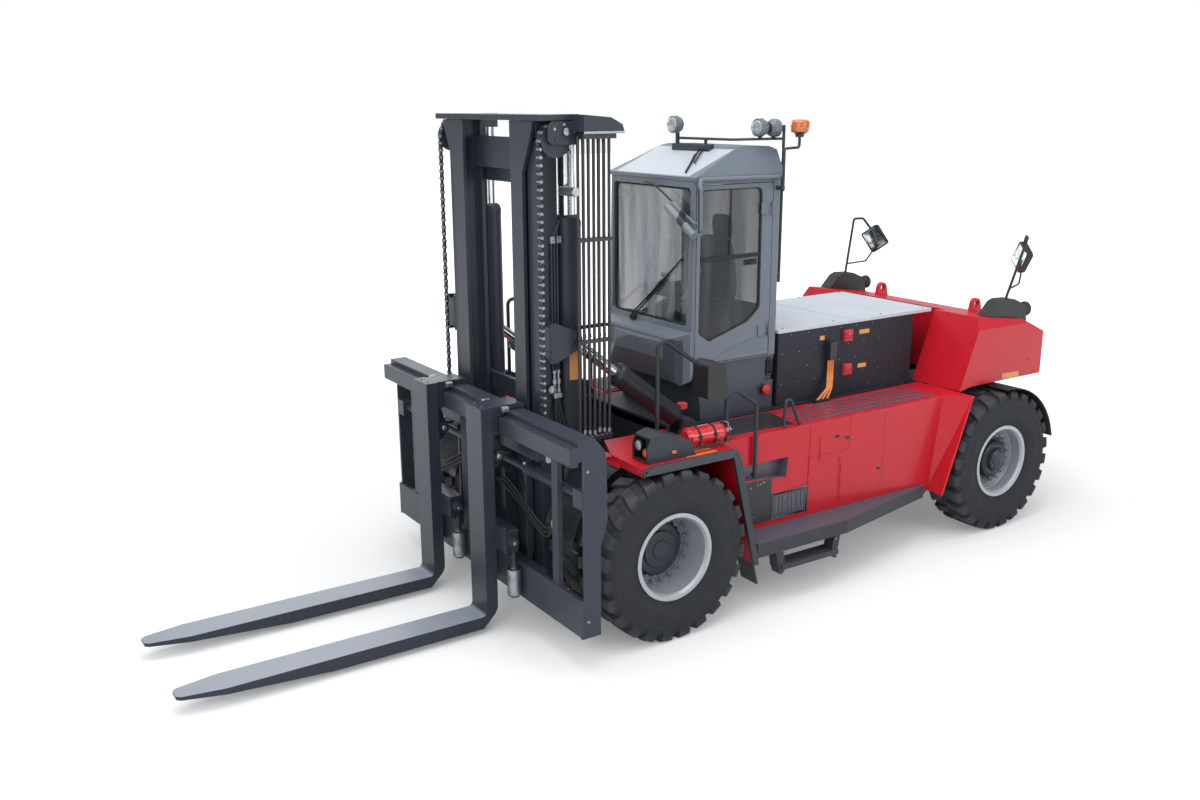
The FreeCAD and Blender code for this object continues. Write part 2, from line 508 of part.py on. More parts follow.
def cab_glass():
    """Windscreen, rear window and right side window, set inside their openings."""
    screen = front_plate([(-545, 2235), (545, 2235), (553, 3373), (-553, 3373)], CAB_FRONT - 44, CAB_FRONT - 37)
    screen = rounded(screen, 38, lambda m, w: abs(w.x) > 0.99)
    rear = front_plate([(-497, 2303), (497, 2303), (497, 3337), (-497, 3337)], CAB_REAR + 20, CAB_REAR + 27)
    rear = rounded(rear, 57, lambda m, w: abs(w.x) > 0.99)
    flank = side_plate([(-904, 2184), (-894, 3357), (-1647, 3357), (-1647, 2333), (-1402, 2223), (-1003, 2114)],
                       -CAB_Y + 18, -CAB_Y + 25)
    save("cab_glass", screen, rear, rounded(flank, 57, along_y))


def cab_door():
    """Left door, hinged at the rear pillar, with one large window and a pressed lower panel."""
    x0, x1 = CAB_REAR + 101, CAB_FRONT - 34
    z0, z1 = CAB_FLOOR + 14, GUTTER_Z - 36
    leaf = box(x0, x1, CAB_Y - WALL, CAB_Y, z0, z1)
    outline = [(x1 - 40, z1 - 34), (x0 + 116, z1 - 34), (x0 + 110, 2330), (x0 + 245, 2222), (x1 - 150, 2095),
               (x1 - 32, 2172)]
    window = rounded(side_plate(outline, CAB_Y - 80, CAB_Y + 20), 54, along_y)
    press = side_plate([(x1 - 175, 1936), (x1 - 400, 2024), (x0 - 10, 2112), (x0 - 10, 1936)], CAB_Y - 5, CAB_Y + 2)
    hinge = cyl(x0 + 6, CAB_Y + 10, 2150, 10, 60)
    hinges = [hinge, hinge.translated(V(0, 0, 980))]
    plates = [box(x0, x0 + 40, CAB_Y - 4, CAB_Y + 6, 2150, 2210), box(x0, x0 + 40, CAB_Y - 4, CAB_Y + 6, 3130, 3190)]
    save("cab_door", fuse(leaf.cut(window).cut(press), *hinges, *plates))
    inset = [(x1 - 43, z1 - 37), (x0 + 119, z1 - 37), (x0 + 113, 2333), (x0 + 247, 2225), (x1 - 152, 2098),
             (x1 - 35, 2175)]
    save("door_glass", rounded(side_plate(inset, CAB_Y - 26, CAB_Y - 19), 52, along_y))


def cab_interior():
    """Dashboard with its cowl, steering column, side console and seat suspension."""
    dash = side_plate([(CAB_FRONT - 68, 1942), (CAB_FRONT - 68, 2226), (-1020, 2210), (-1060, 2130),
                       (-1010, 2060), (-1000, 1942)], -520, 520)
    dash = rounded(dash, 18, lambda m, w: along_y(m, w) and m.z > 2000 and m.x < CAB_FRONT - 80)
    column = side_plate([(-1010, 2060), (-1030, 2200), (-1080, 2400), (-1120, 2390), (-1090, 2180), (-1060, 2040)],
                        -48, 48)
    console = side_plate([(-1660, 1942), (-1660, 2340), (-1560, 2440), (-1230, 2440), (-1190, 2400),
                          (-1190, 2340), (-1420, 2280), (-1420, 1942)], -440, -310)
    pedestal = front_plate([(-210, 1942), (210, 1942), (180, 2050), (210, 2180), (-210, 2180), (-180, 2050)],
                           -1580, -1260)
    save("cab_interior", fuse(dash, column), console, pedestal)


def operator_seat():
    """Seat cushion, backrest and headrest."""
    cushion = rounded(box(-1600, -1220, -245, 245, 2181, 2300), 30, lambda m, w: m.z > 2200 and not along_y(m, w))
    back = side_plate([(-1500, 2290), (-1590, 2290), (-1660, 2900), (-1570, 2920)], -235, 235)
    back = rounded(back, 24, lambda m, w: m.z > 2600)
    head = side_plate([(-1580, 2880), (-1655, 2860), (-1672, 3090), (-1610, 3090)], -130, 130)
    save("operator_seat", fuse(cushion, back, head))


def steering_wheel():
    ring = Part.makeTorus(175, 15, V(0, 0, 0), V(0, 0, 1))
    hub = Part.makeCylinder(34, 34, V(0, 0, -20))
    spokes = [Part.makeBox(172, 30, 10, V(0, -15, -8)) for k in range(3)]
    for k, spoke in enumerate(spokes):
        spoke.rotate(V(0, 0, 0), V(0, 0, 1), 90 + 120 * k)
    wheel = fuse(ring, hub, *spokes)
    wheel.rotate(V(0, 0, 0), V(0, 1, 0), -30)
    wheel.translate(V(-1118, 0, 2432))
    save("steering_wheel", wheel)


def lamps():
    """Headlamp housings on the fenders, work lamps on the roof rail and the beacon on its post."""
    z = FENDER_Z + 1
    housing = side_plate([(205, z), (212, 1560), (176, 1640), (80, 1668), (-190, 1570), (-250, z)], 1215, 1415)
    housing = rounded(housing, 26, lambda m, w: along_y(m, w) and m.z > 1520)
    mouth = front_plate([(1236, 1466), (1396, 1466), (1396, 1560), (1370, 1612), (1236, 1622)], 150, 260)
    housing = housing.cut(mouth)
    lens = cyl(130, 1280, 1560, 42, 62, V(1, 0, 0))
    signal = cyl(130, 1356, 1512, 36, 52, V(1, 0, 0))
    front = fuse(housing, lens, signal)
    post = tube([(-1790, 584, 2530), (-1790, 584, 3860)], 13, 0)
    stand_off = [box(-1795, CAB_REAR - 1, 574, 594, 2600, 2620), box(-1795, CAB_REAR - 11, 574, 594, 3470, 3500)]
    bar = tube([(-1790, 560, 3748), (-1300, 500, 3748), (-1262, -200, 3748)], 11, 60)
    feet = [side_plate([(-1300, 3670.5), (-1300, 3706), (-1240, 3700), (-1240, 3644.5)], -250, 260),
            box(-1275, -1249, -213, -187, ROOF_Z - 6, 3850)]
    link = box(-1275, -1255, 180, 200, ROOF_Z, 3750)
    front_lamp = round_lamp(-1238, -200, 3862, 1)
    side_lamp = round_lamp(-1560, 545, 3842, 1)
    back_lamp = round_lamp(-1712, 540, 3836, -1)
    arms = [box(-1580, -1560, 520, 550, 3740, 3800), box(-1720, -1700, 530, 560, 3740, 3800)]
    bridge = box(-1800, -1700, 540, 592, 3738, 3758)
    roof_set = fuse(post, *stand_off, bar, *feet, link, front_lamp, side_lamp, back_lamp, *arms, bridge)
    stem = tube([(-1708, 690, 3320), (-1708, 690, 3670), (-1872, 690, 3676), (-1872, 690, 3766)], 12, 22)
    beacon = revolve_z([(1, 0), (34, 0), (40, 26), (62, 38), (74, 44), (76, 120), (60, 136), (1, 140)],
                       -1872, 690, 3762)
    arm = box(-1724, -1692, 621, 694, 3330, 3362)
    save("lamps", *both(front), roof_set, fuse(stem, beacon, arm))


def round_lamp(x, y, z, way):
    """Round work lamp at x, y, z that faces forward for way = 1 and back for way = -1."""
    profile = [(1, -56), (46, -56), (66, -20), (72, 16), (72, 34), (1, 34)]
    points = [V(x + way * off, y, z + r) for r, off in profile]
    face = Part.Face(Part.makePolygon(points + points[:1]))
    return face.revolve(V(x, y, z), V(1, 0, 0), 360)


def revolve_z(profile, x, y, z):
    points = [V(x + r, y, z + off) for r, off in profile]
    face = Part.Face(Part.makePolygon(points + points[:1]))
    return face.revolve(V(x, y, z), V(0, 0, 1), 360)


def mirrors():
    """Mirrors on bent stalks: a pair ahead of the cab and a pair on the counterweight."""
    arm = tube([(-60, 1165, FENDER_Z + 1), (-60, 1165, 2290), (-130, 1175, 2300), (-430, 1215, 2080),
                (-500, 1215, 1990)], 17, 50)
    head = side_plate([(-430, 1830), (-430, 2090), (-480, 2120), (-600, 2090), (-640, 1830), (-560, 1775)],
                      1130, 1320)
    head = rounded(head, 22, along_y)
    base = side_plate([(-3985, 2066.5), (-4110, 2190), (-4180, 2214), (-4340, 2206), (-4520, 2130),
                       (-4545, 1956), (-4420, 2012)], 985, 1128)
    base = rounded(base, 16, lambda m, w: along_y(m, w) and m.z > 2120)
    stalk = tube([(-4280, 1060, 2180), (-4450, 1130, 2785), (-4520, 1060, 2790), (-4590, 985, 2660)], 13, 24)
    hanger = tube([(-4315, 1074, 2300), (-4540, 1010, 2320), (-4640, 960, 2480)], 9, 40)
    face = rounded(box(-30, 30, -105, 105, -125, 125), 26, lambda m, w: abs(w.x) > 0.99)
    face.rotate(V(0, 0, 0), V(1, 0, 0), -36)
    face.rotate(V(0, 0, 0), V(0, 0, 1), -24)
    face.translate(V(-4620, 962, 2570))
    work_lamp = round_lamp(-4580, 1052, 2076, -1)
    save("mirrors", *both(fuse(arm, head)), *both(fuse(base, stalk, hanger, face, work_lamp)))


def fire_extinguisher():
    """Extinguisher strapped down on the left fender."""
    profile = [(1, 0), (56, 0), (80, 26), (80, 330), (60, 366), (26, 376), (22, 410), (1, 410)]
    points = [V(-256 - off, 1262, 1532 + r) for r, off in profile]
    face = Part.Face(Part.makePolygon(points + points[:1]))
    bottle = face.revolve(V(-256, 1262, 1532), V(1, 0, 0), 360)
    cradle = box(-560, -270, 1210, 1314, FENDER_Z + 1, 1470)
    save("fire_extinguisher", fuse(bottle, cradle))


# ---- mast ---------------------------------------------------------------------------------------
def mast_outer():
    """Fixed mast frame: two C-section uprights, cross members, foot lugs and tilt lugs."""
    section = [(530, 566), (562, 566), (566, 640), (572, 660), (658, 660), (664, 640), (668, 566), (700, 566),
               (700, 700), (530, 700)]
    upright = floor_plate(section, 255, 3790)
    lug = side_plate([(531, 300), (531, 780), (420, 720), (250, 545), (196, 500), (180, 450), (196, 400),
                      (250, 360), (360, 300)], 452, 528)
    lug = rounded(lug, 30, lambda m, w: along_y(m, w) and m.x < 230)
    lug = fuse(lug, box(531, 545, 452, 600, 300, 780)).cut(across(PIVOT_X, PIVOT_Z, 60.05, 400, 620))
    ex, ez = TILT_EYE
    ear = side_plate([(ex - 62, ez - 25), (ex - 62, ez + 25), (ex - 30, ez + 64), (640, ez + 150), (690, ez + 150),
                      (690, ez - 150), (640, ez - 150), (ex - 30, ez - 64)], TILT_Y - 62, TILT_Y - 40)
    ear = rounded(ear, 26, lambda m, w: along_y(m, w) and m.x < 500)
    other = ear.translated(V(0, 102, 0))
    block = box(612, 690, 699, TILT_Y + 62, ez - 120, ez + 120)
    tilt_pin = across(ex, ez, 32, TILT_Y - 66, TILT_Y + 66)
    foot = box(LIFT_CYL_X - 110, 545, 530, 700, 262, 300)
    left = fuse(upright, lug, ear, other, block, tilt_pin, foot)
    beams = [box(504, 540, -570, 570, z0, z1) for z0, z1 in ((620, 900), (1700, 1860), (3450, 3700))]
    save("mast_outer", fuse(left, right(left), *beams))


def lift_cylinders():
    """Lift cylinder barrels with domed glands, bored for the rods."""
    profile = [(65.05, 0), (88, 0), (88, 500), (108, 506), (108, 2850), (110, 2856), (110, 2884), (98, 2922),
               (78, 2938), (65.05, 2940)]
    left = revolve_z(profile, LIFT_CYL_X, LIFT_CYL_Y, 301)
    save("lift_cylinders", *both(left))


def mast_inner():
    """Moving mast frame: I-section uprights, head beam, sheaves with guards and the hose hood."""
    section = [(550, 385), (580, 385), (586, 450), (704, 450), (710, 385), (740, 385), (740, 555), (710, 555),
               (704, 490), (586, 490), (580, 555), (550, 555)]
    upright = floor_plate(section, 255, 3928)
    flare = front_plate([(380, 3924), (723, 3924), (700, 3850), (560, 3560), (556, 3450), (385, 3450)], 712, 741)
    head = side_plate([(470, 3928), (470, MAST_TOP), (750, MAST_TOP), (750, 3928)], -840, 840)
    crown = box(332, 480, 545, 706, 3860, MAST_TOP)
    low = box(586, 616, -455, 455, 262, 420)
    brace = box(586, 616, -455, 455, 3560, 3800)
    wheel = revolve_y([(24, -30), (100, -30), (122, -34), (122, -27), (104, -25), (104, 25), (122, 27),
                       (122, 34), (100, 30), (24, 30)], SHEAVE_X, CHAIN_Y, SHEAVE_Z)
    axle = across(SHEAVE_X, SHEAVE_Z, 24.5, 707, CHAIN_Y + 66)
    guard = side_plate([(427, 3790), (427, 3890), (460, 3922), (660, 3922), (694, 3890), (694, 3790),
                        (660, 3758), (460, 3758)], CHAIN_Y + 44, CHAIN_Y + 58)
    bolt = across(546, 3850, 20, CHAIN_Y + 40, CHAIN_Y + 70)
    inside = fuse(side_plate([(500, 3930), (520, 3806), (700, 3806), (712, 3930)], 556, 718),
                  side_plate([(500, 3930), (520, 3740), (700, 3740), (712, 3930)], 706, 718))
    hood = side_plate([(131, 3848), (150, 3900), (250, 3950), (480, MAST_TOP - 1), (480, 3848)], 700, 1000)
    hood = hood.cut(side_plate([(143, 3840), (160, 3893), (255, 3939), (468, 3957), (468, 3840)], 712, 988))
    left = fuse(upright, flare, crown, wheel, axle, guard, bolt, inside)
    save("mast_inner", fuse(left, right(left), head, low, brace, hood))


def lift_rods():
    rod = cyl(LIFT_CYL_X, LIFT_CYL_Y, 700, 65, 3159.5)
    save("lift_rods", *both(rod))


def lift_chains():
    """Leaf chains: the front run down to the carriage and the bend over the top sheave."""
    pitch, inner, outer = 120, 105, 132
    front = SHEAVE_X + inner
    outline = [(front, 1500)]
    for k in range(19):
        z = 1500 + pitch * k
        outline += [(SHEAVE_X + outer, z), (SHEAVE_X + outer, z + 88), (SHEAVE_X + outer - 7, z + 92),
                    (SHEAVE_X + outer - 7, z + 116)]
    turn = [math.pi * k / 6 for k in range(7)]
    outline += [(SHEAVE_X + outer * math.cos(a), SHEAVE_Z + outer * math.sin(a)) for a in turn]
    outline += [(SHEAVE_X - outer, 3700), (SHEAVE_X - inner, 3700)]
    inner /= math.cos(math.pi / 12)
    outline += [(SHEAVE_X + inner * math.cos(a), SHEAVE_Z + inner * math.sin(a)) for a in reversed(turn)]
    run = side_plate(outline, CHAIN_Y - 24, CHAIN_Y + 24)
    save("lift_chains", *both(run))


def mast_hoses():
    """Hydraulic hoses that hang from the hood on the left, held by three clips."""
    y = 905
    hoses = [cyl(206 + 45 * k, y, 1520, 12, 2300) for k in range(7)]
    bar = box(180, 466, y - 40, y + 60, 3800, 3838)
    hook = box(240, 420, y - 190, y - 30, 3812, 3846)
    clip = box(186, 496, y - 20, y + 20, 1540, 1566)
    clips = [clip, clip.translated(V(0, 0, 760)), clip.translated(V(0, 0, 1520))]
    save("mast_hoses", fuse(bar, hook, *hoses, *clips))


# ---- carriage, fork frame and forks -------------------------------------------------------------
def carriage():
    """Lift carriage: cheeks with rollers in the inner mast, two rails and the chain anchors."""
    cheek = side_plate([(600, 480), (620, 1480), (700, 1560), (846, 1560), (846, 1430), (774, 1405), (774, 1275),
                        (846, 1250), (846, 432), (660, 432)], 300, 366)
    cheek = rounded(cheek, 30, lambda m, w: along_y(m, w) and m.x < 710)
    roller = across(645, 620, 54, 360, 440)
    left = fuse(cheek, roller, roller.translated(V(0, 0, 760)))
    upper = box(770, 850, -880, 880, 1440, 1560)
    lower = box(770, 850, -880, 880, 430, 550)
    brace = side_plate([(716, 600), (779, 500), (779, 1500), (716, 1400)], 560, 590)
    anchor = [box(690, 775, CHAIN_Y - 66, CHAIN_Y - 34, 1500, 1560), box(690, 775, CHAIN_Y + 34, CHAIN_Y + 66,
                                                                         1500, 1560)]
    left = fuse(left, brace, *anchor)
    save("carriage", fuse(left, right(left), upper, lower))


def fork_frame():
    """Side-shifting frame: stepped upper beam, lower channel, end plates, posts and cylinders."""
    high = side_plate([(790, 1740), (790, 1787), (935, 1787), (935, 1745), (1005, 1745), (1005, 1620),
                       (992, 1608), (935, 1608), (935, 1640), (880, 1640), (880, 1740)], -FRAME_Y, FRAME_Y)
    low = side_plate([(862, 300), (862, 330), (895, 340), (895, 535), (862, 545), (862, 575), (912, 590),
                      (912, 300)], -FRAME_Y, FRAME_Y)
    end = side_plate([(700, 1640), (720, 1700), (778, 1772), (815, 1787), (935, 1787), (935, 1745), (890, 1730),
                      (888, 590), (912, 590), (912, 290), (750, 290), (750, 980), (692, 1160)],
                     FRAME_Y - 24, FRAME_Y)
    end = rounded(end, 40, lambda m, w: along_y(m, w) and m.x < 760 and 900 < m.z < 1600)
    post = box(862, 912, 170, 260, 560, 1650)
    outer_post = box(862, 902, 1180, 1260, 560, 1650)
    hook = side_plate([(762, 1565), (762, 1640), (880, 1660), (880, 1565)], 250, 700)
    catch = side_plate([(762, 340), (762, 425), (902, 425), (902, 340)], 250, 700)
    ram = across(831, 1340, 32, 280, 1500)
    barrel = across(831, 1340, 46, 700, 1150)
    clevis = side_plate([(790, 1295), (790, 1385), (895, 1410), (895, 1270)], 1460, FRAME_Y - 20)
    tie = box(840, 866, 240, 300, 1300, 1380)
    left = fuse(end, post, outer_post, hook, catch, ram, barrel, clevis, tie)
    save("fork_frame", fuse(high, low, left, right(left)))


def fork_left():
    """L-shaped fork, flat on top and tapered below, with its hook, lower guide and rollers."""
    back, face, tip = FORK_FACE - FORK_T, FORK_FACE, FORK_FACE + FORK_LENGTH
    low, top = FORK_LOW, FORK_LOW + FORK_T
    y0, y1 = FORK_Y - FORK_W / 2, FORK_Y + FORK_W / 2
    blade = side_plate([(back, low + 130), (back, 1832), (face, 1832), (face, top), (tip, top),
                        (tip, top - 26), (face + 1250, low), (back + 130, low)], y0, y1)
    blade = rounded(blade, 120, lambda m, w: along_y(m, w) and m.x < back + 10 and m.z < 400)
    blade = rounded(blade, 42, lambda m, w: along_y(m, w) and abs(m.x - face) < 5 and m.z < 400)
    reach = 330
    nose = floor_plate([(0, y0 - 1), (tip - reach, y0 - 1), (tip - 30, y0 + 52), (tip + 1, y0 + 78),
                        (tip + 1, y1 - 78), (tip - 30, y1 - 52), (tip - reach, y1 + 1), (0, y1 + 1)], 0, 2000)
    blade = blade.common(nose)
    hook = side_plate([(back + 1, 1606), (back + 1, 1832), (800, 1832), (774, 1815), (774, 1792), (942, 1792),
                       (942, 1751), (1011, 1751), (1011, 1606)], y0 + 20, y1 - 20)
    ear = side_plate([(back + 1, 1330), (back + 1, 1600), (1012, 1600), (966, 1470), (966, 1380), (1000, 1330)],
                     FORK_Y - 60, FORK_Y + 60)
    boss = across(1000, 1432, 44, FORK_Y - 96, FORK_Y + 96)
    guide = box(948, back + 1, FORK_Y - 270, FORK_Y + 270, 700, 880)
    boss_low = across(1002, 790, 36, FORK_Y - 316, FORK_Y + 316)
    rollers = []
    for s in (-1, 1):
        rollers.append(cyl(972, FORK_Y + s * 235, 335, 54, 215))
        rollers.append(cyl(972, FORK_Y + s * 235, 500, 22, 260))
        rollers.append(cyl(972, FORK_Y + s * 235, 318, 40, 20))
    save("fork_left", fuse(blade, hook, ear, boss, guide, boss_low, *rollers))


# ---- tilt cylinders -----------------------------------------------------------------------------
def tilt_cylinder_left():
    """Barrel on the deck bracket and chrome rod to the mast lug."""
    bx, bz = TILT_BASE
    ex, ez = TILT_EYE
    length = math.hypot(ex - bx, ez - bz)
    along = V((ex - bx) / length, 0, (ez - bz) / length)
    start = V(bx, TILT_Y, bz)

    def turned(profile):
        """Turn (radius, distance from the base pin) points about the cylinder's own line."""
        side = V(along.z, 0, -along.x)
        points = [start + along * d + side * r for r, d in profile]
        return Part.Face(Part.makePolygon(points + points[:1])).revolve(start, along, 360)
    eye = across(bx, bz, 62, TILT_Y - 54, TILT_Y + 54)
    body = turned([(1, 30), (48, 30), (48, 100), (86, 126), (86, 770), (94, 776), (94, 826), (78, 844),
                   (45.05, 846), (45.05, 300), (1, 300)])
    body = fuse(eye, body).cut(across(bx, bz, 40.05, TILT_Y - 90, TILT_Y + 90))
    save("tilt_barrel_left", body)
    neck = turned([(1, 560), (45, 560), (45, length - 130), (40, length - 120), (38, length - 20), (1, length - 10)])
    end = across(ex, ez, 66, TILT_Y - 34, TILT_Y + 34)
    save("tilt_rod_left", fuse(neck, end).cut(across(ex, ez, 44, TILT_Y - 90, TILT_Y + 90)))


def build():
    os.makedirs("parts", exist_ok=True)
    front_wheel_left()
    rear_wheel_left()
    knuckle_left()
    drive_axle()
    steer_axle()
    chassis_frame()
    side_bodies()
    front_fenders()
    steps_and_rails()
    battery()
    power_cables()
    counterweight()
    cab_frame()
    cab_roof()
    cab_glass()
    cab_door()
    cab_interior()
    operator_seat()
    steering_wheel()
    lamps()
    mirrors()
    fire_extinguisher()
    mast_outer()
    lift_cylinders()
    mast_inner()
    lift_rods()
    lift_chains()
    mast_hoses()
    carriage()
    fork_frame()
    fork_left()
    tilt_cylinder_left()
    mirror_nodes("front_tyres_left", "front_rims_left", "rear_tyre_left", "rear_rim_left", "knuckle_left",
                 "fork_left", "tilt_barrel_left", "tilt_rod_left")


build()
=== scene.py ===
import math

import bmesh
import bpy
from mathutils import Matrix, Vector


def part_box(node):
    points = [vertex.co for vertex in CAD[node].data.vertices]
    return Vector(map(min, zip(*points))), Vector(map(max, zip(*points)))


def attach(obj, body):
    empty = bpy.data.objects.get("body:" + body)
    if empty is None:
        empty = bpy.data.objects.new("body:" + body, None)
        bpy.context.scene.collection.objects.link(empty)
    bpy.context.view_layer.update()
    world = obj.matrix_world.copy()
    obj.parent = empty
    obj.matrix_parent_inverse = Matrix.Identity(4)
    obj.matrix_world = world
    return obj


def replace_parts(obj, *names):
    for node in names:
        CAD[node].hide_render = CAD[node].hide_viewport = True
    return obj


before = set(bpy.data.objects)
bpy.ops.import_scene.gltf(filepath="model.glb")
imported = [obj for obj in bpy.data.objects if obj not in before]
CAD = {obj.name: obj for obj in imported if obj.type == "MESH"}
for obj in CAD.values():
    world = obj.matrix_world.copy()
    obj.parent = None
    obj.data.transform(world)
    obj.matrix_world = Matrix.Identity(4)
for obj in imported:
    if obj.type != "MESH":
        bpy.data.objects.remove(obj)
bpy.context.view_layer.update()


# ---- datum ----
# The truck is laid out as its frame drawing is: millimetres ahead of the drive axle, left of the
# middle plane and up from the floor. The axle lies in the middle of the drive tyres.
drive_tyre_low, drive_tyre_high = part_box("front_tyres_left")
AXLE_X = (drive_tyre_low.x + drive_tyre_high.x) / 2
HUB = 685
STEER = -4050
SIDES = ((1, "left"), (-1, "right"))
UP, LEFT, AHEAD, BACK = (0, 0, 1), (0, 1, 0), (1, 0, 0), (-1, 0, 0)


def at(x, y, z):
    return Vector((AXLE_X + x / 1000, y / 1000, z / 1000))


# ---- camera ----
# A 34 mm lens stands ahead of the truck on its left, above the cab floor, and looks slightly down
# on it, as a buyer does who walks round the machine from the forks.
def stand(name, data, pose=Matrix()):
    """Puts an object into the scene at its pose."""
    made = bpy.data.objects.new(name, data)
    made.matrix_world = pose
    bpy.context.scene.collection.objects.link(made)
    return made


def aimed(place, way):
    return Matrix.Translation(place) @ way.to_track_quat("-Z", "Y").to_matrix().to_4x4()


lens = bpy.data.cameras.new("yard_camera")
lens.lens = 34.05
lens.sensor_width = 36
lens.clip_end = 300
heading, dip, roll = math.radians(236.567), math.radians(14.741), math.radians(-0.25)
look = Vector((math.cos(heading) * math.cos(dip), math.sin(heading) * math.cos(dip), -math.sin(dip)))
camera = stand("yard_camera", lens, aimed(at(4931, 7930, 4059), look) @ Matrix.Rotation(roll, 4, "Z"))
bpy.context.scene.camera = camera
bpy.context.scene.view_settings.view_transform = "Standard"


# ---- studio floor ----
# Seamless pale studio floor: matt vinyl, so that the truck throws a soft shadow and no mirror image.
# It is almost white round the truck and plain white further off, with no edge against the sky.
def linear(sheet_colour):
    channels = [int(sheet_colour[i:i + 2], 16) / 255 for i in (0, 2, 4)]
    return [c / 12.92 if c <= 0.04045 else ((c + 0.055) / 1.055) ** 2.4 for c in channels] + [1.0]


def feed(tree, node, links):
    """Gives a node's sockets a value, a colour in hex, or the node or output that feeds them."""
    for key, value in links.items():
        if isinstance(value, bpy.types.Node):
            value = next(output for output in value.outputs if output.enabled)
        if isinstance(value, bpy.types.NodeSocket):
            tree.links.new(value, node.inputs[key])
        else:
            node.inputs[key].default_value = linear(value) if isinstance(value, str) else value


def put(tree, kind, links, **settings):
    """Adds a shader node with its settings, and feeds its sockets."""
    made = tree.nodes.new("ShaderNode" + kind)
    for key, value in settings.items():
        setattr(made, key, value)
    feed(tree, made, links)
    return made


vinyl = bpy.data.materials.new("studio_vinyl")
vinyl.use_nodes = True
tree = vinyl.node_tree
tree.nodes.clear()
matt = put(tree, "BsdfDiffuse", {"Color": "dcddde", "Roughness": 0.6})
# the lamps fade with distance, so the vinyl is lit up by itself from 4 m out and is all white at 11 m
away = put(tree, "VectorMath", {0: put(tree, "TexCoord", {}).outputs["Object"], 1: (-1.0, 0.0, 0.0)},
           operation="DISTANCE")
lit = put(tree, "MapRange", {"Value": away, "From Min": 3.6, "From Max": 11.0, "To Min": 0.17,
                             "To Max": 0.95}, interpolation_type="SMOOTHSTEP")
glow = put(tree, "Emission", {"Color": "ffffff", "Strength": lit})
nothing = put(tree, "Emission", {"Color": "000000", "Strength": 0.0})
sight = put(tree, "LightPath", {}).outputs
seen = put(tree, "Math", {0: sight["Is Camera Ray"], 1: sight["Is Glossy Ray"]}, operation="MAXIMUM")
seen = put(tree, "Math", {0: seen, 1: sight["Is Transmission Ray"]}, operation="MAXIMUM")
lift = put(tree, "MixShader", {0: seen, 1: nothing, 2: glow})
put(tree, "OutputMaterial", {"Surface": put(tree, "AddShader", {0: matt, 1: lift})})
floor_mesh = bpy.data.meshes.new("studio_floor")
floor_mesh.from_pydata([(-70, -70, 0), (70, -70, 0), (70, 70, 0), (-70, 70, 0)], [], [(0, 1, 2, 3)])
floor_mesh.materials.append(vinyl)
stand("studio_floor", floor_mesh)


# ---- daylight ----
# Overcast sky as in a bright hall: pale above, dimmer at eye level, so that paint shows soft shading.
# Camera and panes see the sky as plain white. Four fabric softboxes hang round the truck.
world = bpy.data.worlds.new("overcast")
bpy.context.scene.world = world
world.use_nodes = True
tree = world.node_tree
tree.nodes.clear()
up = put(tree, "SeparateXYZ", {0: put(tree, "TexCoord", {})}).outputs["Z"]
sky = put(tree, "ValToRGB", {0: put(tree, "MapRange", {"Value": up, "From Min": -0.25, "From Max": 0.85})})
sky.color_ramp.elements[0].color = linear("8a8f96")
sky.color_ramp.elements[1].color = linear("ffffff")
sky.color_ramp.elements.new(0.42).color = linear("9aa0a8")
hall = put(tree, "Background", {"Color": sky, "Strength": 0.92})
white = put(tree, "Background", {"Color": "ffffff", "Strength": 1.0})
sight = put(tree, "LightPath", {}).outputs
clear = put(tree, "Math", {0: sight["Is Camera Ray"], 1: sight["Is Transmission Ray"]}, operation="MAXIMUM")
put(tree, "OutputWorld", {"Surface": put(tree, "MixShader", {0: clear, 1: hall, 2: white})})
for name, place, target, wide, high, watts in (
        ("overhead_softbox", (1.5, 1.0, 10.0), (-0.5, 0, 1), 9, 7, 560),
        ("bonnet_softbox", (8.5, 6.5, 6.0), (0.5, 0, 1.4), 6, 4, 240),
        ("flank_softbox", (-5.5, 10.5, 5.5), (-1.5, 0, 1.2), 7, 4, 270),
        ("far_side_softbox", (-2.0, -11.0, 6.0), (-0.5, 0, 1.5), 8, 4, 230)):
    box = bpy.data.lights.new(name, "AREA")
    box.shape = "RECTANGLE"
    box.size, box.size_y = wide, high
    box.energy = watts
    stand(name, box, aimed(Vector(place), Vector(target) - Vector(place)))


# ---- tyres ----
# Pneumatic 14.00-24 traction tyres of carbon-black rubber, moulded with deep staggered shoulder lugs.
# The rubber is matt, a little brown with dust on the lugs, and ringed by fine mould lines.
def open_finish(name):
    """New material with one Principled shader; gives back its tree, shader and rest-place vector."""
    finish = bpy.data.materials.new(name)
    finish.use_nodes = True
    tree = finish.node_tree
    tree.nodes.clear()
    shader = put(tree, "BsdfPrincipled", {})
    put(tree, "OutputMaterial", {"Surface": shader})
    return finish, tree, shader, put(tree, "TexCoord", {}).outputs["Object"]


def coat(finish, *nodes):
    for node in nodes:
        CAD[node].data.materials[0] = finish


def axle_radius(tree, place, x):
    """Distance from the axle that runs across the truck at x: the radius on a wheel, in metres."""
    flat = put(tree, "VectorMath", {0: place, 1: (1, 0, 1)}, operation="MULTIPLY")
    return put(tree, "VectorMath", {0: flat, 1: (AXLE_X + x / 1000, 0, HUB / 1000)}, operation="DISTANCE")


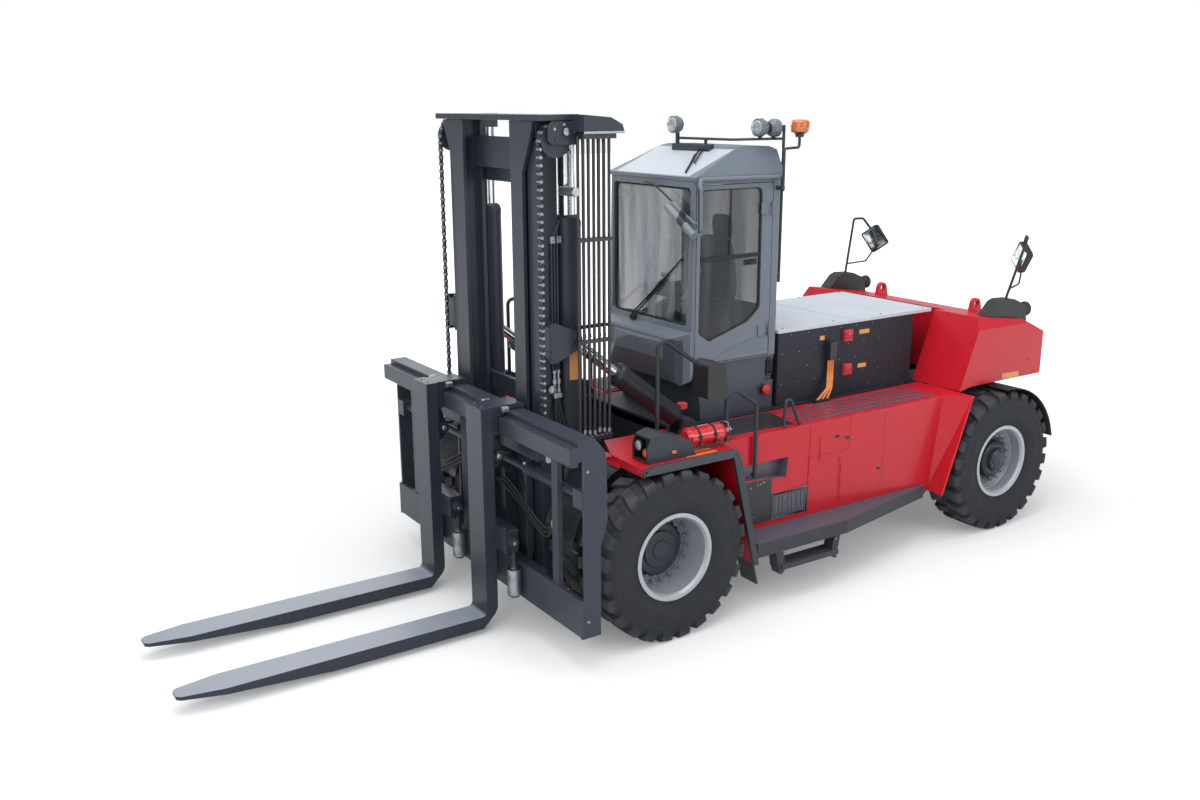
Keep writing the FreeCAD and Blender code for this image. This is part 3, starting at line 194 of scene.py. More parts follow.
def tyre_rubber(name, x):
    finish, tree, shader, place = open_finish(name)
    radius = axle_radius(tree, place, x)
    clod = put(tree, "TexNoise", {"Vector": place, "Scale": 9.0, "Detail": 6.0, "Roughness": 0.6})
    crown = put(tree, "MapRange", {"Value": radius, "From Min": 0.58, "From Max": 0.69})
    dusty = put(tree, "Math", {0: clod, 1: crown}, operation="MULTIPLY")
    dusty = put(tree, "MapRange", {"Value": dusty, "From Min": 0.18, "From Max": 0.62, "To Max": 0.75})
    tone = put(tree, "Mix", {0: dusty, 6: "2b2e33", 7: "56565a"}, data_type="RGBA")
    shade = put(tree, "MapRange", {"Value": clod, "To Min": 0.62, "To Max": 0.9})
    # mould rings every 18 mm on the sidewall, and a 3 mm grain all over
    turns = put(tree, "Math", {0: radius, 1: 2 * math.pi / 0.018}, operation="MULTIPLY")
    ring = put(tree, "Math", {0: turns}, operation="SINE")
    wall = put(tree, "Math", {0: radius, 1: 0.60}, operation="LESS_THAN")
    ring = put(tree, "Math", {0: ring, 1: wall}, operation="MULTIPLY")
    grain = put(tree, "TexNoise", {"Vector": place, "Scale": 330.0, "Detail": 3.0})
    relief = put(tree, "Math", {0: ring, 1: 0.35, 2: grain}, operation="MULTIPLY_ADD")
    bump = put(tree, "Bump", {"Strength": 0.5, "Distance": 0.0012, "Height": relief})
    feed(tree, shader, {"Base Color": tone, "Roughness": shade, "Normal": bump, "Specular IOR Level": 0.35})
    return finish


def lathe(rings, place, axis, steps):
    """Skin turned from (radius, offset) rings about the axis; a radius of 0 closes the end."""
    n = Vector(axis).normalized()
    u = n.orthogonal().normalized()
    v = n.cross(u)
    turns = [2 * math.pi * k / steps for k in range(steps)]
    loops = []
    for radius, offset in rings:
        middle, r = at(*place) + n * (offset / 1000), radius / 1000
        ring = [middle + u * (r * math.cos(a)) + v * (r * math.sin(a)) for a in turns]
        loops.append(ring if radius else [middle])
    return [(loops, False, True)]


def skinned(skins):
    """Mesh of skins, each (loops, capped, closed): faces run from loop to loop, round it if closed."""
    bm = bmesh.new()
    for loops, capped, closed in skins:
        rows = [[bm.verts.new(point) for point in loop] for loop in loops]
        for one, two in zip(rows, rows[1:]):
            for k in range(max(len(one), len(two)) - (not closed)):
                a, b = one[k % len(one)], one[(k + 1) % len(one)]
                c, d = two[(k + 1) % len(two)], two[k % len(two)]
                bm.faces.new(list(dict.fromkeys((a, b, c, d))))
        if capped:
            bm.faces.new(rows[0])
            bm.faces.new(rows[-1][::-1])
    return bm


def fit(name, body, finish, shape, crease=30, bevel=0.0):
    """Makes a piece from skins or a mesh: smooth but for sharp creases, its edges rolled by the bevel."""
    bm = shape if isinstance(shape, bmesh.types.BMesh) else skinned(shape)
    bmesh.ops.recalc_face_normals(bm, faces=bm.faces)
    mesh = bpy.data.meshes.new(name)
    bm.to_mesh(mesh)
    bm.free()
    mesh.materials.append(finish)
    mesh.shade_smooth()
    mesh.set_sharp_from_angle(angle=math.radians(crease))
    made = stand(name, mesh)
    if bevel:
        edge = made.modifiers.new("rolled_edge", "BEVEL")
        edge.width = bevel / 1000
        edge.segments = 2
        edge.limit_method = "ANGLE"
        edge.harden_normals = True
    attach(made, body)
    return made


def tyre(x, y):
    """Carcass with rim bead, ribbed sidewall and groove floor, then staggered lugs on each shoulder."""
    half = [(336, 0), (334, 128), (352, 150), (372, 160), (380, 156), (396, 170), (402, 166), (430, 178),
            (470, 184.5), (520, 186), (528, 183.5), (548, 183.5), (556, 186), (585, 184), (604, 178),
            (632, 168), (648, 150), (654, 90), (656, 0)]
    skins = lathe(half + [(r, -offset) for r, offset in half[-2::-1]], (x, y, HUB), LEFT, 96)
    # each station across a lug: crown radius and offset, then those of its foot in the carcass
    stations = [(592, 179.5, 575, 170), (640, 186.5, 610, 165), (671, 180, 640, 150),
                (684.5, 160, 650, 130), (685, 90, 652, 90), (685, 16, 652, 16)]
    lugs = 24
    for side, shift in ((1, 0.5), (-1, 0.0)):
        for k in range(lugs):
            base = 2 * math.pi * (k + shift) / lugs
            rows = []
            for step, (crown, offset, foot, inset) in enumerate(stations):
                skew = 0.075 * (180 - offset) / 160
                width = 0.172 - 0.012 * step
                row = []
                for r, off, part in ((foot, inset, -0.56), (crown, offset, -0.5), (crown, offset, 0.5),
                                     (foot, inset, 0.56)):
                    a = base + skew + width * part
                    row.append(at(x + r * math.cos(a), y + side * off, HUB + r * math.sin(a)))
                rows.append(row)
            skins.append((rows, True, False))
    return skins


drive_rubber = tyre_rubber("drive_tyre_rubber", 0)
steer_rubber = tyre_rubber("steer_tyre_rubber", STEER)
for name, node, body, rubber, x, middles in (
        ("drive_tyres_", "front_tyres_", "_drive_wheels", drive_rubber, 0, (926, 1341)),
        ("steer_tyre_", "rear_tyre_", "_steer_wheel", steer_rubber, STEER, (1190,))):
    for side, word in SIDES:
        skins = [skin for y in middles for skin in tyre(x, side * y)]
        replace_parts(fit(name + word, word + body, rubber, skins, 40, 6), node + word)
        coat(rubber, node + word)


# ---- wheel rims and hubs ----
# Five-piece steel rims in silver lacquer, bolted to charcoal planetary hubs. The lacquer is coloured
# lighter on the flange and darker in the dish.
def rim_lacquer(name, x, hub_radius):
    finish, tree, shader, place = open_finish(name)
    radius = axle_radius(tree, place, x)
    stain = put(tree, "TexNoise", {"Vector": place, "Scale": 14.0, "Detail": 5.0})
    hub = put(tree, "Math", {0: radius, 1: hub_radius / 1000}, operation="LESS_THAN")
    flange = put(tree, "Math", {0: radius, 1: 0.300}, operation="GREATER_THAN")
    dish = put(tree, "Mix", {0: stain, 6: "6f747b", 7: "999ea5"}, data_type="RGBA")
    lip = put(tree, "Mix", {0: flange, 6: dish, 7: "b4b8be"}, data_type="RGBA")
    tone = put(tree, "Mix", {0: hub, 6: lip, 7: "33383f"}, data_type="RGBA")
    shade = put(tree, "MapRange", {"Value": stain, "To Min": 0.28, "To Max": 0.5})
    rolled = put(tree, "Bevel", {"Radius": 0.005})
    peel = put(tree, "TexNoise", {"Vector": place, "Scale": 240.0})
    bump = put(tree, "Bump", {"Strength": 0.25, "Distance": 0.0006, "Height": peel, "Normal": rolled})
    feed(tree, shader, {"Base Color": tone, "Metallic": 0.35, "Roughness": shade, "Normal": bump})
    return finish


def plated(name, colour, roughness):
    """Plated or worn steel: a thin bright metal skin, blotchy where it was handled."""
    finish, tree, shader, place = open_finish(name)
    blotch = put(tree, "TexNoise", {"Vector": place, "Scale": 60.0, "Detail": 3.0})
    shade = put(tree, "MapRange", {"Value": blotch, "To Min": roughness - 0.08, "To Max": roughness + 0.14})
    tone = put(tree, "Mix", {0: blotch, 6: colour, 7: "b9bdc2"}, data_type="RGBA")
    feed(tree, shader, {"Base Color": tone, "Metallic": 0.9, "Roughness": shade})
    return finish


def bolts(places, axis, flats, tall, stud=0):
    """Hexagon heads on washers at the places, with a stud's end through each when stud is given."""
    skins = []
    seat = tall * 0.16
    washer = [(0, 0), (flats * 0.72, 0), (flats * 0.72, seat), (0, seat)]
    head = [(flats * 0.56, seat), (flats * 0.56, tall * 0.86), (flats * 0.46, tall), (0, tall)]
    thread = [(flats * 0.27, tall), (flats * 0.27, tall + stud), (0, tall + stud)]
    for place in places:
        skins += lathe(washer, place, axis, 16) + lathe(head, place, axis, 6)
        if stud:
            skins += lathe(thread, place, axis, 10)
    return skins


def bolt_ring(x, side, radius, face, count, flats, stud):
    """Bolts in a circle on the outer face of a wheel."""
    turns = [2 * math.pi * (k + 0.5) / count for k in range(count)]
    places = [(x + radius * math.cos(a), side * face, HUB + radius * math.sin(a)) for a in turns]
    return bolts(places, (0, side, 0), flats, flats * 0.8, stud)


coat(rim_lacquer("drive_rim_lacquer", 0, 238.5), "front_rims_left", "front_rims_right")
coat(rim_lacquer("steer_rim_lacquer", STEER, 218), "rear_rim_left", "rear_rim_right")
zinc = plated("zinc_plate", "85898f", 0.34)
for side, word in SIDES:
    fit("drive_wheel_nuts_" + word, word + "_drive_wheels", zinc,
        bolt_ring(0, side, 276, 1243, 20, 34, 22) + bolt_ring(0, side, 226, 1243, 20, 26, 14))
    fit("steer_wheel_nuts_" + word, word + "_steer_wheel", zinc,
        bolt_ring(STEER, side, 232, 1197, 20, 32, 22) + bolt_ring(STEER, side, 96, 1312, 8, 14, 0))


# ---- axles and knuckles ----
# Cast axle housings and steering knuckles in black satin enamel over sand-cast iron: the casting's
# coarse skin shows through the paint, and road dust lies on the lower parts.
def rolled_edges(tree, radius):
    """Rounded look and a mask for the edges of plates: folded steel catches the light at its edges."""
    soft = put(tree, "Bevel", {"Radius": radius})
    true = put(tree, "NewGeometry", {}).outputs["True Normal"]
    match = put(tree, "VectorMath", {0: soft, 1: true}, operation="DOT_PRODUCT")
    return soft, put(tree, "MapRange", {"Value": match, "From Min": 0.995, "From Max": 0.90})


def enamel(name, colour, wear_and_highlight, roughness, clear, grain_mm, grain, dust_and_reflection=0.0):
    """Sprayed enamel on steel: colour clouds, a painted highlight on the edges broken up like wear, orange
    peel, and dust low down.
    """
    finish, tree, shader, place = open_finish(name)
    cloud = put(tree, "TexNoise", {"Vector": place, "Scale": 2.3, "Detail": 5.0, "Roughness": 0.65})
    speck = put(tree, "TexNoise", {"Vector": place, "Scale": 48.0, "Detail": 4.0})
    soft, edge = rolled_edges(tree, 0.006)
    scuff = put(tree, "MapRange", {"Value": speck, "From Min": 0.38, "From Max": 0.62, "To Max": 0.8})
    # the edge mask, broken up by scuff noise, lays a lighter colour along the edges: painted highlight mixed
    # with wear
    edge_highlight = put(tree, "Math", {0: edge, 1: scuff}, operation="MULTIPLY")
    dark, light = [[min(1.0, c * gain) for c in linear(colour)[:3]] + [1.0] for gain in (0.86, 1.1)]
    tone = put(tree, "Mix", {0: cloud, 6: dark, 7: light}, data_type="RGBA")
    tone = put(tree, "Mix", {0: edge_highlight, 6: tone, 7: wear_and_highlight}, data_type="RGBA")
    if dust_and_reflection:
        low = put(tree, "SeparateXYZ", {0: place}).outputs["Z"]
        fall = put(tree, "MapRange", {"Value": low, "From Min": 1.3, "From Max": 0.2, "To Max": dust_and_reflection})
        drift = put(tree, "Math", {0: fall, 1: cloud}, operation="MULTIPLY")
        tone = put(tree, "Mix", {0: drift, 6: tone, 7: "8b8378"}, data_type="RGBA")
    shade = put(tree, "MapRange", {"Value": cloud, "To Min": roughness - 0.06, "To Max": roughness + 0.10})
    peel = put(tree, "TexNoise", {"Vector": place, "Scale": 1000.0 / grain_mm, "Detail": 2.0})
    bump = put(tree, "Bump", {"Strength": grain, "Distance": 0.0008, "Height": peel, "Normal": soft})
    feed(tree, shader, {"Base Color": tone, "Roughness": shade, "Normal": bump, "Coat Weight": clear,
                        "Coat Roughness": 0.08, "Specular IOR Level": 0.32})
    return finish, tree, shader, tone


cast_black = enamel("cast_iron_black_enamel", "26292e", "4a4e54", 0.55, 0.0, 7.0, 0.6, 0.5)[0]
coat(cast_black, "drive_axle", "steer_axle", "knuckle_left", "knuckle_right")


# ---- chassis ----
# Welded frame of thick steel plate, sprayed black. Plate is smooth, so the satin paint shows long
# soft highlights, with road dust on the lower third.
coat(enamel("chassis_black_enamel", "2a2d32", "565b62", 0.45, 0.0, 5.0, 0.25, 0.45)[0], "chassis_frame")


# ---- red bodywork ----
# Pressed sheet lockers, deck plates, fenders and the cast counterweight, all in one signal-red
# two-coat enamel: deep colour under a clear gloss, with a painted highlight, broken up like wear, along the
# folded edges.
def repaint(finish, tree, shader, tone, zones):
    """Other colours on one pressing, from other paints and from painted shade: each zone is (low, high,
    colour), the same on both sides.
    """
    parts = put(tree, "SeparateXYZ", {0: put(tree, "TexCoord", {}).outputs["Object"]}).outputs
    across = put(tree, "Math", {0: parts["Y"]}, operation="ABSOLUTE")
    for low, high, colour in zones:
        mask = 1.0
        for value, lo, hi in zip((parts["X"], across, parts["Z"]), at(*low), at(*high)):
            hit = put(tree, "Math", {0: value, 1: (lo + hi) / 2, 2: (hi - lo) / 2}, operation="COMPARE")
            mask = put(tree, "Math", {0: mask, 1: hit}, operation="MULTIPLY")
        tone = put(tree, "Mix", {0: mask, 6: tone, 7: colour}, data_type="RGBA")
    feed(tree, shader, {"Base Color": tone})
    return finish


RED, RED_EDGE_HIGHLIGHT = "c8172a", "e4525c"
locker_red = enamel("locker_red_enamel", RED, RED_EDGE_HIGHLIGHT, 0.34, 0.22, 6.0, 0.14, 0.10)
repaint(*locker_red, (((-1428, 1060, 960), (-890, 1199, 1180), "6d6874"),
                      ((-1640, 1200.6, 625), (-1220, 1215, 875), "5b5a64"),
                      ((-3300, 700, 1410.5), (-1600, 1300, 1420), "6b4a58"),
                      ((-1600, 700, 1410.5), (-840, 1300, 1425), "2b2d32"),
                      ((-3500, 600, 0), (-600, 1300, 520), "3a3c40")))
fender_red = enamel("fender_red_enamel", RED, RED_EDGE_HIGHLIGHT, 0.34, 0.22, 6.0, 0.14, 0.08)
repaint(*fender_red, (((-1000, 600, 0), (900, 1600, 1372), "2b2e33"),
                      ((-818, 1203, 300), (-586, 1468, 1420), RED),
                      ((-586, 1203, 1366), (330, 1468, 1400), RED),
                      ((-700, 1469.5, 1300), (320, 1510, 1460), "3b3f46"),
                      ((-1000, 1469.5, 0), (-569, 1600, 1449), "33373d")))
ballast_red = enamel("counterweight_red_enamel", RED, RED_EDGE_HIGHLIGHT, 0.36, 0.22, 9.0, 0.2, 0.08)
repaint(*ballast_red, (((-4900, 0, 0), (-4300, 440, 1439), "2b2e33"),))
coat(locker_red[0], "side_bodies")
coat(fender_red[0], "front_fenders")
coat(ballast_red[0], "counterweight")


# ---- locker doors on the flanks ----
# The lockers close with flush sheet doors: a charcoal service panel held by screws, a pressed
# louvre beside it, and hinge rods welded down the red doors.
def slab(outline, axis, low, high):
    """Plate whose outline lies in the plane square to the axis, from low to high."""
    k = "XYZ".index(axis)
    return [([[at(*point[:k], level, *point[k:]) for point in outline] for level in (low, high)], True, True)]


def oblong(a, b, c, d):
    """Outline of an upright rectangle, from a to b along and from c to d up."""
    return [(a, c), (a, d), (b, d), (b, c)]


def rod(path, radius, steps, bend=0):
    """Round bar along the path, with each corner eased over the bend length."""
    points = [at(*place) for place in path]
    line = [points[0]]
    for before, corner, after in zip(points, points[1:], points[2:]):
        if bend:
            a, b = [corner + (end - corner).normalized() * min(bend / 1000, (end - corner).length * 0.48)
                    for end in (before, after)]
            line += [a * (1 - t) ** 2 + corner * 2 * t * (1 - t) + b * t * t for t in (0, 0.25, 0.5, 0.75, 1)]
        else:
            line.append(corner)
    line.append(points[-1])
    side = (line[1] - line[0]).orthogonal().normalized()
    turns = [2 * math.pi * k / steps for k in range(steps)]
    loops = []
    for k, point in enumerate(line):
        way = (line[min(k + 1, len(line) - 1)] - line[max(k - 1, 0)]).normalized()
        side = (side - way * side.dot(way)).normalized()
        over = way.cross(side)
        loops.append([point + (side * math.cos(a) + over * math.sin(a)) * radius / 1000 for a in turns])
    return [(loops, True, True)]


FLANK, BALLAST_SIDE = 1200, 1190
DECK, FENDER_TOP = 1410, 1440
panel_charcoal = enamel("service_panel_charcoal", "30353c", "565c64", 0.42, 0.1, 3.0, 0.3, 0.2)[0]
louvre_grey = enamel("louvre_grey_lacquer", "62616c", "8d8c98", 0.36, 0.2, 4.0, 0.2, 0.1)[0]
PANEL_SCREWS = ((-992, 963), (-1034, 700), (-1070, 976), (-1100, 978), (-1133, 988), (-1290, 652),
                (-1370, 645))
DOOR_SCREWS = ((-2020, 1252), (-2060, 1250), (-2150, 1210), (-2508, 880))


def flank_plate(side, outline, low, high):
    """Plate on a flank, from low to high off its sheet."""
    return slab(outline, "Y", side * (FLANK + low), side * (FLANK + high))


for side, word in SIDES:
    out = (0, side, 0)
    fit("service_panel_" + word, "chassis", panel_charcoal,
        flank_plate(side, [(-1228, 632), (-1228, 1004), (-1000, 1012), (-900, 1012), (-900, 632)], 0.4, 5)
        + flank_plate(side, [(-1218, 642), (-1218, 995), (-910, 1002), (-910, 642)], 4, 7), 30, 2)
    fit("panel_screws_" + word, "chassis", zinc,
        bolts([(x, side * (FLANK + 6.5), z) for x, z in PANEL_SCREWS], out, 11, 8)
        + bolts([(x, side * (FLANK + 1), z) for x, z in DOOR_SCREWS], out, 9, 6))
    louvre = flank_plate(side, [(-1634, 640), (-1634, 872), (-1230, 862), (-1230, 632)], 5, 9)
    for k in range(19):
        rib = [(-1616 + 20.5 * k + x, side * (FLANK + y))
               for x, y in ((0, 8.5), (3, 14), (12, 14), (15, 8.5))]
        louvre += slab(rib, "Z", 652, 852)
    fit("locker_louvre_" + word, "chassis", louvre_grey, louvre, 30, 1.5)
    hinges = []
    for x, low, high in ((-1648, 640, 1186), (-1776, 1060, 1268), (-2030, 700, 1030)):
        hinges += rod([(x, side * (FLANK + 3), low), (x, side * (FLANK + 3), high)], 6, 10)
        for z in (low + 18, (low + high) / 2, high - 18):
            hinges += flank_plate(side, oblong(x - 14, x + 14, z - 26, z + 26), 0.4, 3.5)
    for gap in ((-1660, -1654, 585, 1330), (-2036, -2032, 600, 1040), (-2560, -2556, 640, 1330)):
        hinges += flank_plate(side, oblong(*gap), 0.2, 1.2)
    fit("locker_hinges_" + word, "chassis", locker_red[0], hinges)
    latches = []
    for x, z in ((-1972, 1246), (-2092, 1214), (-2508, 858)):
        plate = [(x - 26, z - 12), (x - 22, z + 12), (x + 22, z + 14), (x + 26, z - 8)]
        latches += flank_plate(side, plate, 0.4, 4)
        latches += lathe([(11, 0), (11, 6), (6, 9), (0, 9)], (x - 8, side * (FLANK + 3.6), z), out, 14)
    fit("locker_latches_" + word, "chassis", panel_charcoal, latches)
    ribs = []
    for x in (-2950, -2560, -2170):
        for y in (770, 880, 990, 1100):
            ribs += slab(oblong(x - 190, x + 186, side * (y - 9), side * (y + 9)), "Z", DECK + 0.4, DECK + 4)
    fit("deck_tread_ribs_" + word, "chassis", louvre_grey, ribs, 30, 1.5)
    fender_screws = [(x, side * y, FENDER_TOP + 0.5) for x, y in
                     ((230, 1440), (60, 1440), (-480, 1440), (250, 1235), (-300, 1150))]
    ballast_screws = [(x, side * (BALLAST_SIDE + 0.5), z) for x, z in ((-4180, 1700), (-4540, 1600))]
    fit("deck_screws_" + word, "chassis", fender_red[0],
        bolts(fender_screws, UP, 10, 6) + bolts(ballast_screws, out, 12, 6))


# ---- reflector and blank plates ----
# Orange reflective tape on the fender's edge, and blank orange plates of printed aluminium where a
# truck of this kind carries its notices. Tape has fine prism cells; plates are plain lacquer.
def two_tone(name, kind, values, tones, surface, relief=None, **settings):
    """Finish whose two tones follow a texture; relief is how strongly and how high it stands out."""
    finish, tree, shader, place = open_finish(name)
    grain = put(tree, kind, {"Vector": place, **values}, **settings)
    tone = put(tree, "Mix", {0: grain, 6: tones[0], 7: tones[1]}, data_type="RGBA")
    feed(tree, shader, {"Base Color": tone, **surface})
    if relief:
        bump = put(tree, "Bump", {"Strength": relief[0], "Distance": relief[1], "Height": grain})
        feed(tree, shader, {"Normal": bump})
    return finish, tree, shader, tone


tape = two_tone("orange_prism_tape", "TexVoronoi", {"Scale": 260.0}, ("e2672a", "f79a4a"),
                {"Roughness": 0.22, "Coat Weight": 0.6}, (0.3, 0.0006))[0]
plate_orange = enamel("notice_plate_lacquer", "e6a052", "f2c58a", 0.35, 0.3, 3.0, 0.1)[0]
for side, word in SIDES:
    strips = []
    for front, near, far in ((-241, 1312, 1354), (-150, 1400, 1436)):
        strips += slab(oblong(-443, front, side * near, side * far), "Z", FENDER_TOP + 0.4, FENDER_TOP + 2)
    fit("fender_reflector_" + word, "chassis", tape, strips, 30, 0.5)
    plate = [(-4410, 1440), (-4410, 1500), (-4164, 1508), (-4164, 1448)]
    fit("ballast_plate_" + word, "chassis", plate_orange,
        slab(plate, "Y", side * (BALLAST_SIDE + 0.3), side * (BALLAST_SIDE + 2)), 30, 0.6)


# ---- steps and grab rails ----
# Running boards of folded steel with grit-coated tops, and bent tube rails, powder coated charcoal.
# The rail round the cab's corner is painted with the cab, and its sleeve is bare alloy.
board_grey = enamel("board_charcoal_powder", "363a42", "6a6f76", 0.5, 0.0, 2.0, 0.3, 0.1)
repaint(*board_grey, (((-3200, 1190, 588), (-840, 1474, 592), "585663"),
                      ((-1760, 1300, 336), (-1140, 1490, 342), "4b4f57"),
                      ((-1730, 600, 3395), (-800, 730, 3470), "6f7781"),
                      ((-840, 680, 3040), (-800, 730, 3400), "6f7781"),
                      ((-830, 280, 2960), (-740, 480, 3260), "868e98"),
                      ((-830, 560, 2960), (-740, 700, 3160), "7b838d")))
coat(board_grey[0], "steps_and_rails")
step_bolts = []
for side in (1, -1):
    places = [(x - back, side * 1464.5, z) for x in (-1164, -1740) for back, z in ((0, 300), (2, 440))]
    step_bolts += bolts(places, (0, side, 0), 13, 10)
fit("step_bolts", "chassis", zinc, step_bolts)


# ---- battery container ----
# Charcoal powder-coated steel case held by blind rivets, under a pale lacquered lid. The powder coat
# is finely pebbled and almost matt; the lid is smooth and shows the sky.
coat(enamel("battery_case_powder", "2a2e38", "444a54", 0.52, 0.0, 2.0, 0.45)[0], "battery_box")
coat(enamel("battery_lid_lacquer", "cdd3db", "eceef1", 0.30, 0.1, 8.0, 0.1)[0], "battery_cover")
CASE_SIDE, LID_TOP = 600, 2100
case_low, case_high = [(Vector(corner) - at(0, 0, 0)) * 1000 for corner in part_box("battery_box")]
rivets = []
for side in (1, -1):
    for k in range(17):
        x = case_low.x + 50 + (case_high.x - case_low.x - 100) * k / 16
        for row, z in enumerate((1455, 1600, 1740, 1880, 2045)):
            if (k + row) % 2:
                place = (x, side * (case_high.y - 0.5), z)
                rivets += lathe([(5, 0), (4.5, 1.5), (0, 2.5)], place, (0, side, 0), 8)
fit("case_rivets", "chassis", zinc, rivets)
socket_red = enamel("socket_housing_red", "c8353f", "e98a90", 0.42, 0.2, 3.0, 0.2)[0]
for k, (x, z) in enumerate(((-2637, 1963), (-2644, 1642))):
    flange = [(x + dx, z + dz) for dx, dz in
              ((-50, -52), (-50, 44), (-38, 54), (40, 54), (50, 44), (50, -52))]
    fit("battery_socket_%d" % (k + 1), "chassis", socket_red,
        slab(flange, "Y", CASE_SIDE + 0.6, CASE_SIDE + 40)
        + slab(oblong(x - 36, x + 36, z - 40, z + 38), "Y", CASE_SIDE + 39, CASE_SIDE + 52)
        + lathe([(24, 0), (24, 10), (18, 12), (18, 3), (0, 3)], (x, CASE_SIDE + 51.5, z), LEFT, 20), 30, 2)
plates = []
for x, z, half in ((-2870, 1972, 65), (-2860, 1650, 55), (-2330, 1970, 30)):
    plates += slab(oblong(x - half, x + half, z - 20, z + 20), "Y", CASE_SIDE + 0.4, CASE_SIDE + 2)
fit("battery_blank_plates", "chassis", plate_orange, plates, 30, 0.6)
places = [(x, side * 560, LID_TOP + 0.4) for x in (-1880, -2500, -3120, -3700) for side in (1, -1)]
fit("lid_bolts", "chassis", zinc,
    bolts(places, UP, 13, 10) + slab(oblong(-2700, -2696, -596, 596), "Z", LID_TOP + 0.3, LID_TOP + 1))
fit("isolator_box", "chassis", socket_red,
    slab(oblong(-2240, -2060, -560, -420), "Z", LID_TOP + 1, LID_TOP + 48)
    + slab(oblong(-2228, -2072, -548, -432), "Z", LID_TOP + 47, LID_TOP + 60), 30, 4)
nylon, tree, shader = two_tone("moulded_black_nylon", "TexNoise", {"Scale": 55.0, "Detail": 3.0},
                               ("141518", "26282c"), {"Roughness": 0.48})[:3]
feed(tree, shader, {"Normal": put(tree, "Bevel", {"Radius": 0.004})})
fit("isolator_knob", "chassis", nylon,
    lathe([(16, 0), (16, 18), (34, 24), (36, 44), (28, 54), (0, 56)], (-2150, -490, LID_TOP + 60), UP, 24),
    40, 1)


# ---- power cables ----
# Traction cables in orange silicone sleeve, plugged into a moulded connector: soft satin rubber.
orange = two_tone("orange_silicone_sleeve", "TexNoise", {"Scale": 30.0, "Detail": 4.0}, ("d0712f", "f3a35c"),
                  {"Roughness": 0.42})
coat(repaint(*orange, (((-2460, 590, 1765), (-2360, 690, 1940), "2b2c30"),
                       ((-2340, 680, 1400), (-2140, 760, 1437), "2b2c30"))), "power_cables")


# ---- cab shell ----
# Cab of welded tube and pressed sheet in mid-grey enamel, with a pale moulded roof pane. Two-coat
# gloss like the body, a little flatter.
CAB_GREY = ("6d7681", "9aa1aa", 0.34, 0.15, 6.0, 0.14)
cab_paint = enamel("cab_grey_enamel", *CAB_GREY)
# the cab is darker below 1.9 m, and the front below the windscreen is darkened by painted shade
coat(repaint(*cab_paint, (((-1762, 0, 1400), (-860, 600, 1895), "454d57"),
                          ((-900, 0, 1700), (-700, 560, 2120), "4a525c"))), "cab_frame", "cab_door")
roof_paint = enamel("cab_roof_enamel", *CAB_GREY)
coat(repaint(*roof_paint, (((-1300, 0, 3440), (-835, 520, 3720), "b4bcc5"),)), "cab_roof")


# ---- emergency stop and pocket handle ----
# A red mushroom button on a black nylon ring and a moulded pocket handle, both screwed to the side of
# the cab's plinth, and a red isolator plug on a short stand beside the left tilt cylinder.
STOP = (-1649, 586, 1591)
POCKET = [(-1742, 1712), (-1746, 1850), (-1730, 1868), (-1690, 1868), (-1676, 1850), (-1676, 1712),
          (-1690, 1698), (-1728, 1698)]
PLUG = [(-700, 1580), (-704, 1622), (-694, 1634), (-642, 1634), (-632, 1622), (-636, 1580)]
fit("plinth_handle", "chassis", nylon,
    lathe([(40, -2), (40, 14), (22, 20), (22, 34), (0, 34)], STOP, LEFT, 24)
    + slab(POCKET, "Y", 585, 594)
    + rod([(-1712, 590, 1730), (-1712, 618, 1748), (-1712, 618, 1826), (-1712, 590, 1842)], 9, 12, 16)
    + rod([(-668, 690, 1414), (-668, 690, 1582)], 9, 10), 40, 2)
fit("stop_button", "chassis", socket_red,
    lathe([(20, 30), (43, 34), (46, 44), (40, 56), (20, 62), (0, 63)], STOP, LEFT, 28)
    + slab(PLUG, "Y", 664, 718), 40, 3)


# ---- cab glazing ----
# Toughened float glass with a grey tint, held in rubber gaskets. It mirrors the sky at flat angles;
# elsewhere the dim cab shows through, behind pale upright streaks that are a painted reflection.
def float_glass(name, deep, film_and_reflection, clear, reflection_cover):
    """Tinted pane with a painted reflection: pale upright streaks, where the pane is also less see-through.
    """
    finish, tree, shader, place = open_finish(name)
    drawn = put(tree, "VectorMath", {0: place, 1: (5.0, 5.0, 0.7)}, operation="MULTIPLY")
    streak = put(tree, "TexNoise", {"Vector": drawn, "Scale": 1.0, "Detail": 2.0, "Distortion": 0.6})
    # the streak mask lays the painted reflection: a paler colour and a more opaque pane
    dust_and_reflection = put(tree, "MapRange", {"Value": streak, "From Min": 0.44, "From Max": 0.60})
    tone = put(tree, "Mix", {0: dust_and_reflection, 6: deep, 7: film_and_reflection}, data_type="RGBA")
    cover = put(tree, "MapRange", {"Value": dust_and_reflection, "To Min": clear, "To Max": reflection_cover})
    shade = put(tree, "MapRange", {"Value": dust_and_reflection, "To Min": 0.02, "To Max": 0.12})
    feed(tree, shader, {"Base Color": tone, "Alpha": cover, "Roughness": shade, "IOR": 1.52})
    return finish


